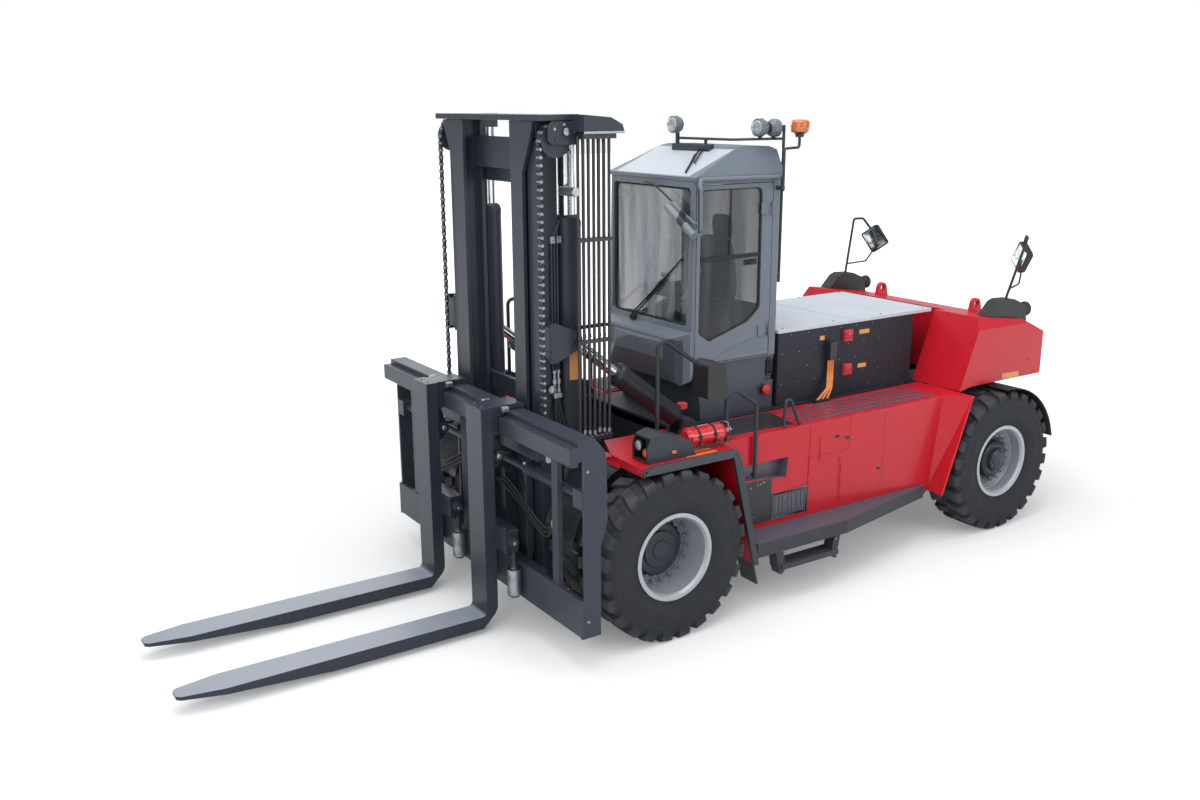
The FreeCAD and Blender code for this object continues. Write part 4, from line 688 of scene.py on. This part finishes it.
coat(float_glass("screen_float_glass", "20282e", "8d9aa5", 0.34, 0.56), "cab_glass")
coat(float_glass("door_float_glass", "171e23", "3a444b", 0.52, 0.62), "door_glass")
gasket = two_tone("epdm_window_gasket", "TexNoise", {"Scale": 90.0}, ("17191b", "2a2c2f"),
                  {"Roughness": 0.6})[0]
SCREEN = [(-846, -549, 2240), (-846, 549, 2240), (-846, 541, 3366), (-846, -541, 3366)]
DOOR_PANE = [(-892, 3357), (-1542, 3357), (-1548, 2333), (-1414, 2225), (-1001, 2098), (-884, 2175)]
RIGHT_PANE = [(-904, 2184), (-894, 3357), (-1647, 3357), (-1647, 2333), (-1402, 2223), (-1003, 2114)]
REAR_PANE = [(-1750, -497, 2303), (-1750, 497, 2303), (-1750, 497, 3337), (-1750, -497, 3337)]
for name, body, path in (("screen_gasket", "chassis", SCREEN),
                         ("door_gasket", "door", [(x, 606, z) for x, z in DOOR_PANE]),
                         ("right_pane_gasket", "chassis", [(x, -610, z) for x, z in RIGHT_PANE]),
                         ("rear_pane_gasket", "chassis", REAR_PANE)):
    start = tuple((a + b) / 2 for a, b in zip(path[0], path[-1]))
    fit(name, body, gasket, rod([start] + path + [start], 8, 10, 70), 50)


# ---- wipers ----
# Pantograph wipers: two parallel pressed arms from a cast spindle, and a rubber blade in a steel
# bow. All black powder coat, so that they don't glare in the driver's eyes.
wiper_black = enamel("wiper_black_powder", "1c1e21", "3f4349", 0.45, 0.0, 2.0, 0.2)[0]
wiper = rod([(-840, -60, 2385), (-836, 190, 2590), (-840, 436, 2790)], 7, 10, 60)
wiper += slab([(-62, 2376), (438, 2786), (432, 2798), (-70, 2388)], "X", -845.5, -838)
for y in (0, 42):
    wiper += rod([(-790, y - 222, 2222), (-806, y - 200, 2262), (-834, y + 40, 2470),
                  (-836, y + 170, 2585)], 8, 10, 30)
    wiper += lathe([(22, 0), (22, 16), (12, 24), (0, 24)], (-802, y - 226, 2208), (1, 0, 0.4), 18)
for t in (0.1, 0.35, 0.65, 0.9):
    y, z = -60 + 496 * t, 2385 + 405 * t
    wiper += rod([(-836, y, z), (-842, y + 8, z + 8)], 9, 8)
fit("screen_wiper", "chassis", wiper_black, wiper, 40, 1)
fit("washer_jet", "chassis", nylon,
    lathe([(24, 0), (26, 6), (18, 20), (0, 22)], (-860, 80, 2236), (0.3, 0, 1), 20), 40)


ROOF_Z = 3690


def roof_line(places, rise):
    """Path that keeps its rise above the top of the roof, which is felt for from 4.5 m up."""
    path = []
    for x, y in places:
        hit, where = CAD["cab_roof"].ray_cast(at(x, y, 4500), Vector((0, 0, -1)))[:2]
        path.append((x, y, (where.z * 1000 if hit else ROOF_Z) + rise))
    return path


wiper = lathe([(30, -4), (30, 20), (16, 34), (0, 34)], roof_line([(-1290, 100)], 0)[0], UP, 20)
for aside in (0, 46):
    arm = roof_line([(-1280, 96), (-1200, 170), (-1100, 250), (-1010, 320)], 20)
    wiper += rod([(x, y + aside, z) for x, y, z in arm], 7, 10, 20)
blade = [(-1150, 190), (-1060, 270), (-980, 340), (-870, 430)]
wiper += rod(roof_line(blade, 11), 8, 10, 20) + rod(roof_line(blade, 20), 6, 10, 20)
fit("roof_wiper", "chassis", wiper_black, wiper, 40, 1)


# ---- cab door fittings ----
# Sash bar across the door pane with its slider, a pull handle, and two cast hinges on the pillar.
fit("door_sash", "door", wiper_black,
    slab([(-905, 2772), (-905, 2808), (-1540, 2812), (-1540, 2776)], "Y", 603, 612)
    + slab(oblong(-1222, -1206, 2810, 3350), "Y", 603, 609), 40, 2)
fit("door_handle", "door", nylon,
    rod([(-1480, 612, 2740), (-1480, 648, 2740), (-1400, 650, 2735), (-1400, 612, 2735)], 9, 12, 26)
    + slab([(-1508, 2712), (-1508, 2764), (-1372, 2760), (-1372, 2708)], "Y", 604, 614), 40, 2)
hinges = []
for z in (2130, 3180):
    hinges += slab(oblong(-1600, -1530, z - 50, z + 50), "Y", 621, 632)
    hinges += rod([(-1655, 632, z - 56), (-1655, 632, z + 56)], 13, 14)
fit("door_hinges", "door", cab_paint[0], hinges, 40, 3)


# ---- cab interior ----
# Moulded ABS trim with a fine leather grain, near black, so that it doesn't mirror in the screen.
trim, tree, shader = two_tone("grained_abs_trim", "TexNoise", {"Scale": 7.0, "Detail": 4.0},
                              ("212327", "303339"), {"Roughness": 0.6})[:3]
pore = put(tree, "TexVoronoi", {"Vector": put(tree, "TexCoord", {}).outputs["Object"], "Scale": 450.0})
feed(tree, shader, {"Normal": put(tree, "Bump", {"Strength": 0.12, "Distance": 0.0004, "Height": pore})})
coat(trim, "cab_interior", "steering_wheel")
display = two_tone("display_glass", "TexNoise", {"Scale": 12.0, "Detail": 3.0}, ("39424c", "56626e"),
                   {"Roughness": 0.08})[0]
fit("display_case", "chassis", trim,
    slab([(-1120, 2470), (-1100, 2640), (-1084, 2640), (-1104, 2470)], "Y", 250, 440)
    + rod([(-1040, 350, 2215), (-1060, 350, 2400), (-1098, 350, 2520)], 14, 12, 40), 40, 4)
fit("display_pane", "chassis", display,
    slab([(-1122, 2482), (-1103, 2630), (-1101, 2630), (-1119, 2482)], "Y", 262, 428), 40)
knobs = []
for y in (-420, -385, -350):
    knobs += lathe([(10, 0), (9, 50), (20, 62), (22, 85), (12, 98), (0, 100)],
                   (-1290, y, 2440), (0.1, 0, 1), 16)
fit("lever_knobs", "chassis", nylon, knobs, 40)


# ---- operator's seat ----
# Upholstered seat: moulded foam under black woven cloth with sewn side bolsters. The pads are
# crowned and pulled in at their seams; the twill is drawn larger than life so that it shows.
cloth, tree, shader, place = open_finish("woven_seat_cloth")
twill = put(tree, "TexWave", {"Vector": place, "Scale": 32.0, "Distortion": 0.6}, bands_direction="DIAGONAL")
weave = put(tree, "TexNoise", {"Vector": place, "Scale": 220.0})
both = put(tree, "Math", {0: twill, 1: weave}, operation="ADD")
feed(tree, shader, {"Base Color": put(tree, "Mix", {0: twill, 6: "1d2024", 7: "2f333a"}, data_type="RGBA"),
                    "Normal": put(tree, "Bump", {"Strength": 0.3, "Distance": 0.0008, "Height": both}),
                    "Roughness": 0.85, "Sheen Weight": 0.3})


def seat_pad(name, origin, lean, half, crown, seams):
    """Crowned pad round origin, leaning back by lean degrees; seams are sewn channels across it."""
    bm = bmesh.new()
    bmesh.ops.create_cube(bm, size=2.0)
    bmesh.ops.subdivide_edges(bm, edges=bm.edges, cuts=15, use_grid_fill=True)
    turn = Matrix.Rotation(math.radians(-lean), 4, "Y")
    for v in bm.verts:
        reach = sum(abs(c) ** 4 for c in v.co) ** (1 / 4)
        x, y, z = v.co / reach
        swell = 1 + crown * (1 - x * x) * (1 - y * y)
        dip = sum(math.exp(-((y - s) / 0.05) ** 2) for s in seams) + math.exp(-((x - 0.1) / 0.05) ** 2)
        z = z * swell - (0.10 * dip if z > 0 else 0)
        x *= 1 - 0.03 * (1 - abs(y)) * abs(z)
        v.co = turn @ Vector((x * half[0], y * half[1], z * half[2])) / 1000 + at(*origin)
    bmesh.ops.smooth_vert(bm, verts=bm.verts, factor=0.3, use_axis_x=True, use_axis_y=True, use_axis_z=True)
    pad = fit(name, "chassis", cloth, bm, 80)
    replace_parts(pad, "operator_seat")


seat_pad("seat_cushion", (-1408, 0, 2243), 2, (188, 242, 52), 0.22, (-0.62, 0.62))
seat_pad("seat_back", (-1582, 0, 2606), 82, (300, 232, 40), 0.30, (-0.60, 0.60))
seat_pad("seat_headrest", (-1628, 0, 2976), 86, (108, 126, 30), 0.30, ())


# ---- lamps, lenses and beacon ----
# Lamp bodies are powder coated charcoal, with black nylon bezels; the work lamps' finned shells are
# silver. The lenses are clear, amber or red polycarbonate with moulded prisms.
def lens_plastic(name, colour, bright):
    return two_tone(name, "TexVoronoi", {"Scale": 95.0}, (bright, colour),
                    {"Roughness": 0.10, "Coat Weight": 0.8}, (0.25, 0.001))[0]


def domed(place, axis, r):
    return lathe([(r, -4), (r, 4), (r * 0.93, 8), (r * 0.7, 12.5), (r * 0.35, 15.2), (0, 16)],
                 place, axis, 28)


tail_lens = lens_plastic("tail_lens_polycarbonate", "6e0c12", "b3202a")
clear_lens = lens_plastic("clear_lens_polycarbonate", "6b7179", "c3c8ce")
amber_lens = lens_plastic("amber_lens_polycarbonate", "b64a0c", "ea7a22")
lamp_shell = enamel("lamp_shell_powder", "363b43", "5a606a", 0.42, 0.1, 3.0, 0.2)
coat(repaint(*lamp_shell, (((120, 1216, 1460), (206, 1412, 1630), "17181b"),)), "lamps")
silver = enamel("lamp_shell_silver", "6d737b", "aeb3b9", 0.28, 0.1, 4.0, 0.1)[0]
for side, word in SIDES:
    fit("headlamp_lens_" + word, "chassis", clear_lens,
        domed((193, side * 1280, 1560), AHEAD, 40), 50)
    glass = [(-62, 1498), (-50, 1514), (-26, 1518), (-10, 1508), (-14, 1494), (-30, 1488), (-54, 1488)]
    fit("signal_lenses_" + word, "chassis", amber_lens,
        domed((183, side * 1356, 1512), AHEAD, 34) + slab(glass, "Y", side * 1414, side * 1422), 50, 1)
    rim = [(-76, 1496), (-58, 1520), (-22, 1526), (0, 1510), (-4, 1488), (-28, 1480), (-64, 1480)]
    fit("lamp_bezels_" + word, "chassis", nylon,
        lathe([(46, -2), (46, 12), (41, 12), (41, -2)], (191, side * 1280, 1560), AHEAD, 28)
        + lathe([(39, -2), (39, 10), (35, 10), (35, -2)], (181, side * 1356, 1512), AHEAD, 28)
        + slab(rim, "Y", side * 1411, side * 1416), 40, 1)
    fit("reverse_lamp_lens_" + word, "chassis", clear_lens,
        domed((-4614, side * 1052, 2076), BACK, 62), 50)
for side, word in SIDES:
    fit("tail_lamp_lenses_" + word, "chassis", tail_lens,
        domed((-4876, side * 720, 1600), BACK, 44) + domed((-4876, side * 610, 1600), BACK, 44), 50)
    rims = []
    for y in (720, 610):
        rims += lathe([(52, -4), (52, 6), (45, 8), (45, -4)], (-4872, side * y, 1600), BACK, 28)
    fit("tail_lamp_rims_" + word, "chassis", nylon, rims, 40, 1)
lenses, shells = [], []
for x, y, z, way in ((-1238, -200, 3862, 1), (-1560, 545, 3842, 1), (-1712, 540, 3836, -1)):
    axis = (way, 0, 0)
    lenses += domed((x + 35 * way, y, z), axis, 62)
    shell = [(47, -56.5), (67.5, -20), (73.5, 16), (73.5, 36), (66, 37), (64, 30)]
    shells += lathe(shell, (x, y, z), axis, 28)
    for k in range(5):
        r, off = 54 + 4 * k, 9 * k
        fin = [(r, off - 46), (r + 6, off - 45), (r + 6, off - 42), (r, off - 41)]
        shells += lathe(fin, (x, y, z), axis, 28)
fit("work_lamp_lenses", "chassis", clear_lens, lenses, 50)
fit("work_lamp_shells", "chassis", silver, shells, 40)
BEACON = (-1872, 690, 3762)
dome = lathe([(75, 44), (77.5, 50), (78.5, 118), (72, 132), (52, 141), (0, 144)], BEACON, UP, 36)
for z in (62, 78, 94, 110):
    dome += lathe([(77.5, z), (80, z + 3), (77.5, z + 6)], BEACON, UP, 36)
fit("beacon_dome", "chassis", amber_lens, dome, 50)


# ---- mirrors ----
# Mirror heads are moulded nylon shells with a silvered glass set in behind a thin rim. The rear
# pair sits on bent stalks over the counterweight.
def polished(name, colour, scale, low, high):
    """Bright metal that a film of handling marks dulls in places."""
    finish, tree, shader, place = open_finish(name)
    film_and_reflection = put(tree, "TexNoise", {"Vector": place, "Scale": scale, "Detail": 3.0})
    shade = put(tree, "MapRange", {"Value": film_and_reflection, "To Min": low, "To Max": high})
    feed(tree, shader, {"Base Color": colour, "Metallic": 1.0, "Roughness": shade})
    return finish


coat(nylon, "mirrors")
silvered = polished("silvered_mirror_glass", "cfd4d8", 9.0, 0.03, 0.14)
FRONT_GLASS = [(1142, 1845), (1308, 1845), (1312, 1880), (1312, 2050), (1298, 2072), (1152, 2072),
               (1138, 2050), (1138, 1880)]
REAR_GLASS = [(-92, -112), (92, -112), (100, -100), (86, 104), (74, 112), (-74, 112), (-86, 104),
              (-100, -100)]
HEAD_TOP, LEAN = 2090, 0.154
for side, word in SIDES:
    pane = [[at(x - (HEAD_TOP - z) * LEAN, side * y, z) for y, z in FRONT_GLASS] for x in (-603, -599)]
    fit("front_mirror_glass_" + word, "chassis", silvered, [(pane, True, True)], 40)
    turn, nod = math.radians(-24 * side), math.radians(-36 * side)
    tilt = Matrix.Rotation(turn, 4, "Z") @ Matrix.Rotation(nod, 4, "X")
    pane = [[at(-4620, side * 962, 2570) + tilt @ (Vector((off, y * k, z * k)) / 1000) for y, z in REAR_GLASS]
            for off, k in ((34, 0.90), (32.5, 0.99), (29, 1.0))]
    fit("rear_mirror_glass_" + word, "chassis", silvered, [(pane, True, True)], 40)


# ---- fire extinguisher ----
# Steel bottle in bright red gloss, strapped into a cradle with two rubber bands. A blank paper label
# is glued round it; the valve is plated.
bottle_red = enamel("extinguisher_red_gloss", "d3242c", "f08086", 0.18, 0.8, 8.0, 0.08)
coat(repaint(*bottle_red, (((-520, 1190, 1455), (-390, 1262, 1700), "e9dcd6"),
                           ((-700, 1190, 1400), (-250, 1330, 1469), "2b2d31"))), "fire_extinguisher")
BOTTLE_Y, BOTTLE_Z = 1262, 1532
straps = []
for x in (-350, -500):
    straps += lathe([(80.5, -11), (83.2, -10), (83.2, 10), (80.5, 11)], (x, BOTTLE_Y, BOTTLE_Z), AHEAD, 40)
    straps += slab(oblong(x - 14, x + 14, BOTTLE_Z, BOTTLE_Z + 28), "Y", BOTTLE_Y + 81, BOTTLE_Y + 90)
fit("extinguisher_straps", "chassis", gasket, straps, 40)
fit("extinguisher_valve", "chassis", zinc,
    lathe([(20, 0), (20, 20), (28, 24), (28, 40), (12, 44), (0, 44)], (-664, BOTTLE_Y, BOTTLE_Z), BACK, 20)
    + rod([(-690, BOTTLE_Y, 1540), (-690, BOTTLE_Y, 1590), (-640, BOTTLE_Y, 1612)], 5, 8, 12)
    + rod([(-690, 1240, 1534), (-690, 1215, 1534)], 7, 10), 40, 1)
fit("extinguisher_hose", "chassis", gasket,
    rod([(-690, 1246, 1534), (-700, 1300, 1530), (-690, 1352, 1500), (-560, 1362, 1468), (-380, 1362, 1466),
         (-300, 1356, 1490)], 8, 10, 60), 60)


# ---- mast ----
# Rolled steel channels and flame-cut plate in slate enamel, with a painted highlight, broken up like wear,
# along the long edges.
# Cylinder rods are hard chrome. Pipes climb the outer mast, and each lift barrel has a blank plate.
mast_paint = enamel("mast_slate_enamel", "2f3640", "5b6470", 0.42, 0.05, 5.0, 0.2, 0.05)[0]
coat(mast_paint, "mast_outer", "mast_inner", "lift_cylinders", "carriage")
coat(polished("hard_chrome_rod", "dfe1e3", 40.0, 0.08, 0.20), "lift_rods", "tilt_rod_left", "tilt_rod_right")
barrel_black = enamel("cylinder_black_enamel", "252a31", "4a5058", 0.38, 0.0, 6.0, 0.08)[0]
coat(barrel_black, "tilt_barrel_left", "tilt_barrel_right")
COUPLING = [(10, 0), (16, 6), (16, 40), (11, 46), (11, 70), (17, 74), (17, 110), (10, 116), (10, 150),
            (15, 154), (15, 180), (9, 186), (0, 186)]
for side, word in SIDES:
    out = (0, side, 0)
    pipes = []
    for k, (x, low) in enumerate(((545, 1950), (570, 1950), (595, 2080))):
        top = 3150 - 40 * k
        pipes += rod([(x, side * 716, low), (x, side * 716, top), (x - 30, side * 700, top + 60)], 8, 10, 30)
    fit("mast_pipes_" + word, "mast", mast_paint, pipes, 40)
    clamps = []
    for z in (3070, 2190):
        for x in (532, 586):
            clamps += slab(oblong(x - 20, x + 20, z - 26, z + 26), "Y", side * 701, side * 727)
            clamps += bolts([(x, side * 726.5, z)], out, 11, 9)
    fit("pipe_clamps_" + word, "mast", zinc, clamps, 30, 3)
    fit("pipe_fittings_" + word, "mast", zinc,
        lathe(COUPLING, (548, side * 718, 1900), UP, 12)
        + lathe(COUPLING, (584, side * 718, 1900), UP, 12)
        + lathe([(0, -4), (34, -4), (36, 10), (24, 18), (12, 20), (0, 20)], (608, side * 718, 1930), out, 24)
        + slab(oblong(530, 600, 1864, 1902), "Y", side * 701, side * 738), 30, 1.5)
    hoses = []
    for dx, dy, drop in ((0, 0, 0), (28, 6, 30), (56, 10, 60)):
        path = [(546 + dx * 0.6, 716, 1870), (540 + dx, 730, 1740), (500 + dx, 742, 1600 - drop),
                (420 + dx, 720, 1500 - drop), (350, 690, 1440 - drop)]
        hoses += rod([(x, side * (y + dy), z) for x, y, z in path], 11, 10, 90)
    fit("mast_foot_hoses_" + word, "mast", gasket, hoses, 60)
    wrapped = [[at(402 + r * math.sin(a), side * (622 + r * math.cos(a)), z)
                for r, z in ((108.6, 1985), (108.6, 2235), (110.2, 2235), (110.2, 1985))]
               for a in [math.radians(turn) for turn in (-22, -6, 10, 26)]]
    fit("barrel_plate_" + word, "mast", plate_orange, [(wrapped, True, True)], 50)
    fit("sheave_guard_bolts_" + word, "inner_mast", zinc,
        bolts([(x, side * 859.5, z) for x, z in ((470, 3850), (640, 3870), (560, 3900))], out, 14, 10)
        + lathe([(0, 0), (26, 0), (28, 10), (16, 18), (0, 20)], (546, side * 868, 3850), out, 20))
# a pale strip along the top edge of the hood is a painted highlight on the cross-head
bright = enamel("hood_edge_highlight_paint", "a9b1bb", "e6e9ec", 0.3, 0.3, 3.0, 0.1)[0]
fit("hood_edge_highlight", "inner_mast", bright, slab(oblong(131, 480, 3836, 3852), "Y", 996, 1003), 30, 2)
fit("hose_guide_roller", "inner_mast", zinc,
    lathe([(30, 0), (34, 4), (34, 200), (30, 204), (0, 204)], (500, 720, 3426), LEFT, 24))


# ---- leaf chains ----
# Each lift chain is a leaf chain: stacks of dark plates linked by bright pins, from the carriage up
# and over the mast's sheave. Oiled steel is near black with pale worn pin ends.
oiled, tree, shader = enamel("oiled_chain_steel", "24262a", "7c8188", 0.34, 0.1, 3.0, 0.2)[:3]
feed(tree, shader, {"Metallic": 0.55})
worn_steel = plated("worn_pin_steel", "60656c", 0.36)
SHEAVE_X, SHEAVE_Y, SHEAVE_Z, SHEAVE_R = 615, 801, 3790, 118.5
ANCHOR_Z, PITCH = 1560, 57.15
LEAF = [(-9, 7), (-5, 11.5), (6, 12.5), (16, 9), (28.5, 8), (41, 9), (51, 12.5), (62, 11.5), (66, 7)]
LEAF += [(off, -across) for off, across in reversed(LEAF)]
run, bend = SHEAVE_Z - ANCHOR_Z, math.pi * SHEAVE_R
spots = []
for k in range(int((run + bend + 90) / PITCH) + 1):
    s = k * PITCH
    if s <= run:
        spots.append((SHEAVE_X + SHEAVE_R, ANCHOR_Z + s))
    elif s <= run + bend:
        a = (s - run) / SHEAVE_R
        spots.append((SHEAVE_X + SHEAVE_R * math.cos(a), SHEAVE_Z + SHEAVE_R * math.sin(a)))
    else:
        spots.append((SHEAVE_X - SHEAVE_R, SHEAVE_Z - (s - run - bend)))
for side, word in SIDES:
    leaves, pins = [], []
    for k, ((x, z), (next_x, next_z)) in enumerate(zip(spots, spots[1:])):
        way = Vector((next_x - x, next_z - z)).normalized()
        link = [(x + way.x * off - way.y * across, z + way.y * off + way.x * across) for off, across in LEAF]
        for y in (-22, -10, 2, 14) if k % 2 else (-16, -4, 8):
            leaves += slab(link, "Y", side * (SHEAVE_Y + y), side * (SHEAVE_Y + y + 5))
    for x, z in spots:
        pins += lathe([(0, 0), (10, 1), (13.2, 3), (13.2, 51), (10, 53), (0, 54)],
                      (x, side * SHEAVE_Y - 27, z), LEFT, 12)
    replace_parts(fit("leaf_chain_" + word, "inner_mast", oiled, leaves), "lift_chains")
    fit("chain_pins_" + word, "inner_mast", worn_steel, pins)
    block = [(716, 1562), (716, 1700), (724, 1716), (744, 1716), (752, 1700), (752, 1562)]
    fit("chain_anchor_" + word, "inner_mast", zinc,
        slab(block, "Y", side * SHEAVE_Y - 26, side * SHEAVE_Y + 26)
        + lathe([(12, 0), (12, 72), (8, 76), (0, 76)], (734, side * SHEAVE_Y - 38, 1672), LEFT, 16), 30, 2)


# ---- hoses ----
# Braided hydraulic hoses in black rubber, finely ribbed by the cloth they were wrapped in.
hose_rubber = two_tone("hose_rubber", "TexWave", {"Scale": 40.0, "Distortion": 0.4}, ("1a1c1f", "34373c"),
                       {"Roughness": 0.42}, (0.2, 0.0008), bands_direction="Z")[0]
coat(hose_rubber, "mast_hoses")
row = []
for x in (228, 274, 362, 408, 452):
    row += rod([(x, 886, 2338), (x, 862, 2400), (x, 862, 3760), (x + 10, 872, 3812)], 9.5, 10, 40)
fit("inner_hose_row", "inner_mast", hose_rubber, row, 60)
clips = []
for z in (2420, 3073):
    clips += slab(oblong(200, 476, 846, 884), "Z", z - 12, z + 12)
fit("inner_hose_clips", "inner_mast", nylon, clips, 40, 3)
ferrules = []
for k in range(7):
    ferrules += lathe([(12.5, 0), (15, 2), (15, 20), (13.5, 22), (13.5, 34), (12.5, 36)],
                      (206 + 45 * k, 905, 1575 + 9 * (k % 3)), UP, 12)
fit("hose_ferrules", "inner_mast", worn_steel, ferrules)


# ---- carriage, fork frame and forks ----
# Flame-cut and welded plate in slate enamel like the mast's, with zinc-plated rollers and screws. The
# forks are forged bars in the same paint, rubbed pale along the top of the blades.
coat(enamel("fork_frame_slate_enamel", "363d48", "6a727d", 0.42, 0.05, 5.0, 0.25, 0.05)[0], "fork_frame")
fork_paint, tree, shader, tone = enamel("fork_slate_enamel", "2f3641", "6e7682", 0.38, 0.05, 5.0, 0.25)
up = put(tree, "SeparateXYZ", {0: put(tree, "NewGeometry", {}).outputs["True Normal"]}).outputs["Z"]
low = put(tree, "SeparateXYZ", {0: put(tree, "TexCoord", {}).outputs["Object"]}).outputs["Z"]
blade = put(tree, "Math", {0: low, 1: 0.3}, operation="LESS_THAN")
wear_and_highlight = put(tree, "MapRange", {"Value": up, "From Min": 0.4, "From Max": 0.98, "To Max": 0.62})
wear_and_highlight = put(tree, "Math", {0: wear_and_highlight, 1: blade}, operation="MULTIPLY")
feed(tree, shader, {"Base Color": put(tree, "Mix", {0: wear_and_highlight, 6: tone, 7: "a9b0bc"}, data_type="RGBA")})
coat(fork_paint, "fork_left", "fork_right")
ROLLER = [(54.5, 0), (56.5, 6), (56.5, 66), (55, 70), (55, 140), (56.5, 144), (56.5, 206), (54.5, 212)]
BANJO = [(9, 0), (14, 2), (14, 20), (18, 22), (18, 34), (10, 40), (0, 40)]
for side, word in SIDES:
    middle = side * 475
    rollers = []
    for y in (middle - 235, middle + 235):
        rollers += lathe(ROLLER, (972, y, 336), UP, 32)
        rollers += lathe([(30, 0), (30, 12), (22, 14), (22, 40), (14, 44), (0, 44)], (972, y, 551), UP, 20)
    fit("fork_rollers_" + word, word + "_fork", zinc, rollers)
    fit("fork_screws_" + word, word + "_fork", zinc,
        lathe([(0, 0), (20, 0), (22, 6), (14, 12), (0, 12)], (1000, middle + 96.5, 1432), LEFT, 20)
        + lathe([(0, 0), (16, 0), (18, 6), (10, 10), (0, 10)], (1002, middle + 316.5, 790), LEFT, 20)
        + bolts([(1120, middle + 60, 1832.4), (1120, middle - 60, 1832.4)], UP, 12, 8)
        + bolts([(1040, middle - 220, 880.4), (1040, middle + 220, 880.4)], UP, 10, 8))
    stops = []
    for y in (middle + 150, middle - 150):
        stop = [(-20, 1793), (-20, 1822), (-12, 1832), (12, 1832), (20, 1822), (20, 1793)]
        stops += slab([(y + dy, z) for dy, z in stop], "X", 944, 1000)
    fit("hook_stops_" + word, word + "_fork", zinc, stops, 30, 2)
    valves = bolts([(860, side * 1601, z) for z in (420, 1560)], (0, side, 0), 16, 12)
    for y, z in ((1100, 1560), (1180, 1545), (760, 1690)):
        valves += slab(oblong(side * (y - 16), side * (y + 16), z - 60, z), "X", 864, 890)
        valves += lathe([(7, 0), (7, 30), (11, 34), (11, 50), (0, 52)], (877, side * y, z), UP, 10)
    fit("frame_valves_" + word, "shift_frame", zinc, valves, 30, 2)

# hoses looped across the frame's windows, with banjo fittings at the side-shift cylinder
for side, word in SIDES:
    path = [(850, 1120, 700), (842, 1240, 830), (842, 1350, 905), (838, 1420, 880)]
    hoses = rod([(x, side * y, z) for x, y, z in path], 9, 10, 90)
    for back, drop in ((838, 0), (848, 40), (858, 76)):
        path = [(back, 330, 1210 - drop), (832, 520, 1120 - drop), (835, 800, 985 - drop),
                (845, 1000, 935 - drop), (850, 1110, 1010 - drop * 0.5)]
        hoses += rod([(x, side * y, z) for x, y, z in path], 10, 10, 120)
    fit("frame_hoses_" + word, "shift_frame", gasket, hoses, 60)
    banjos = []
    for y, z in ((1110, 1010), (1110, 990), (700, 1360), (1150, 1360)):
        banjos += lathe(BANJO, (850, side * y, z), UP, 12)
    fit("frame_hose_fittings_" + word, "shift_frame", zinc, banjos)
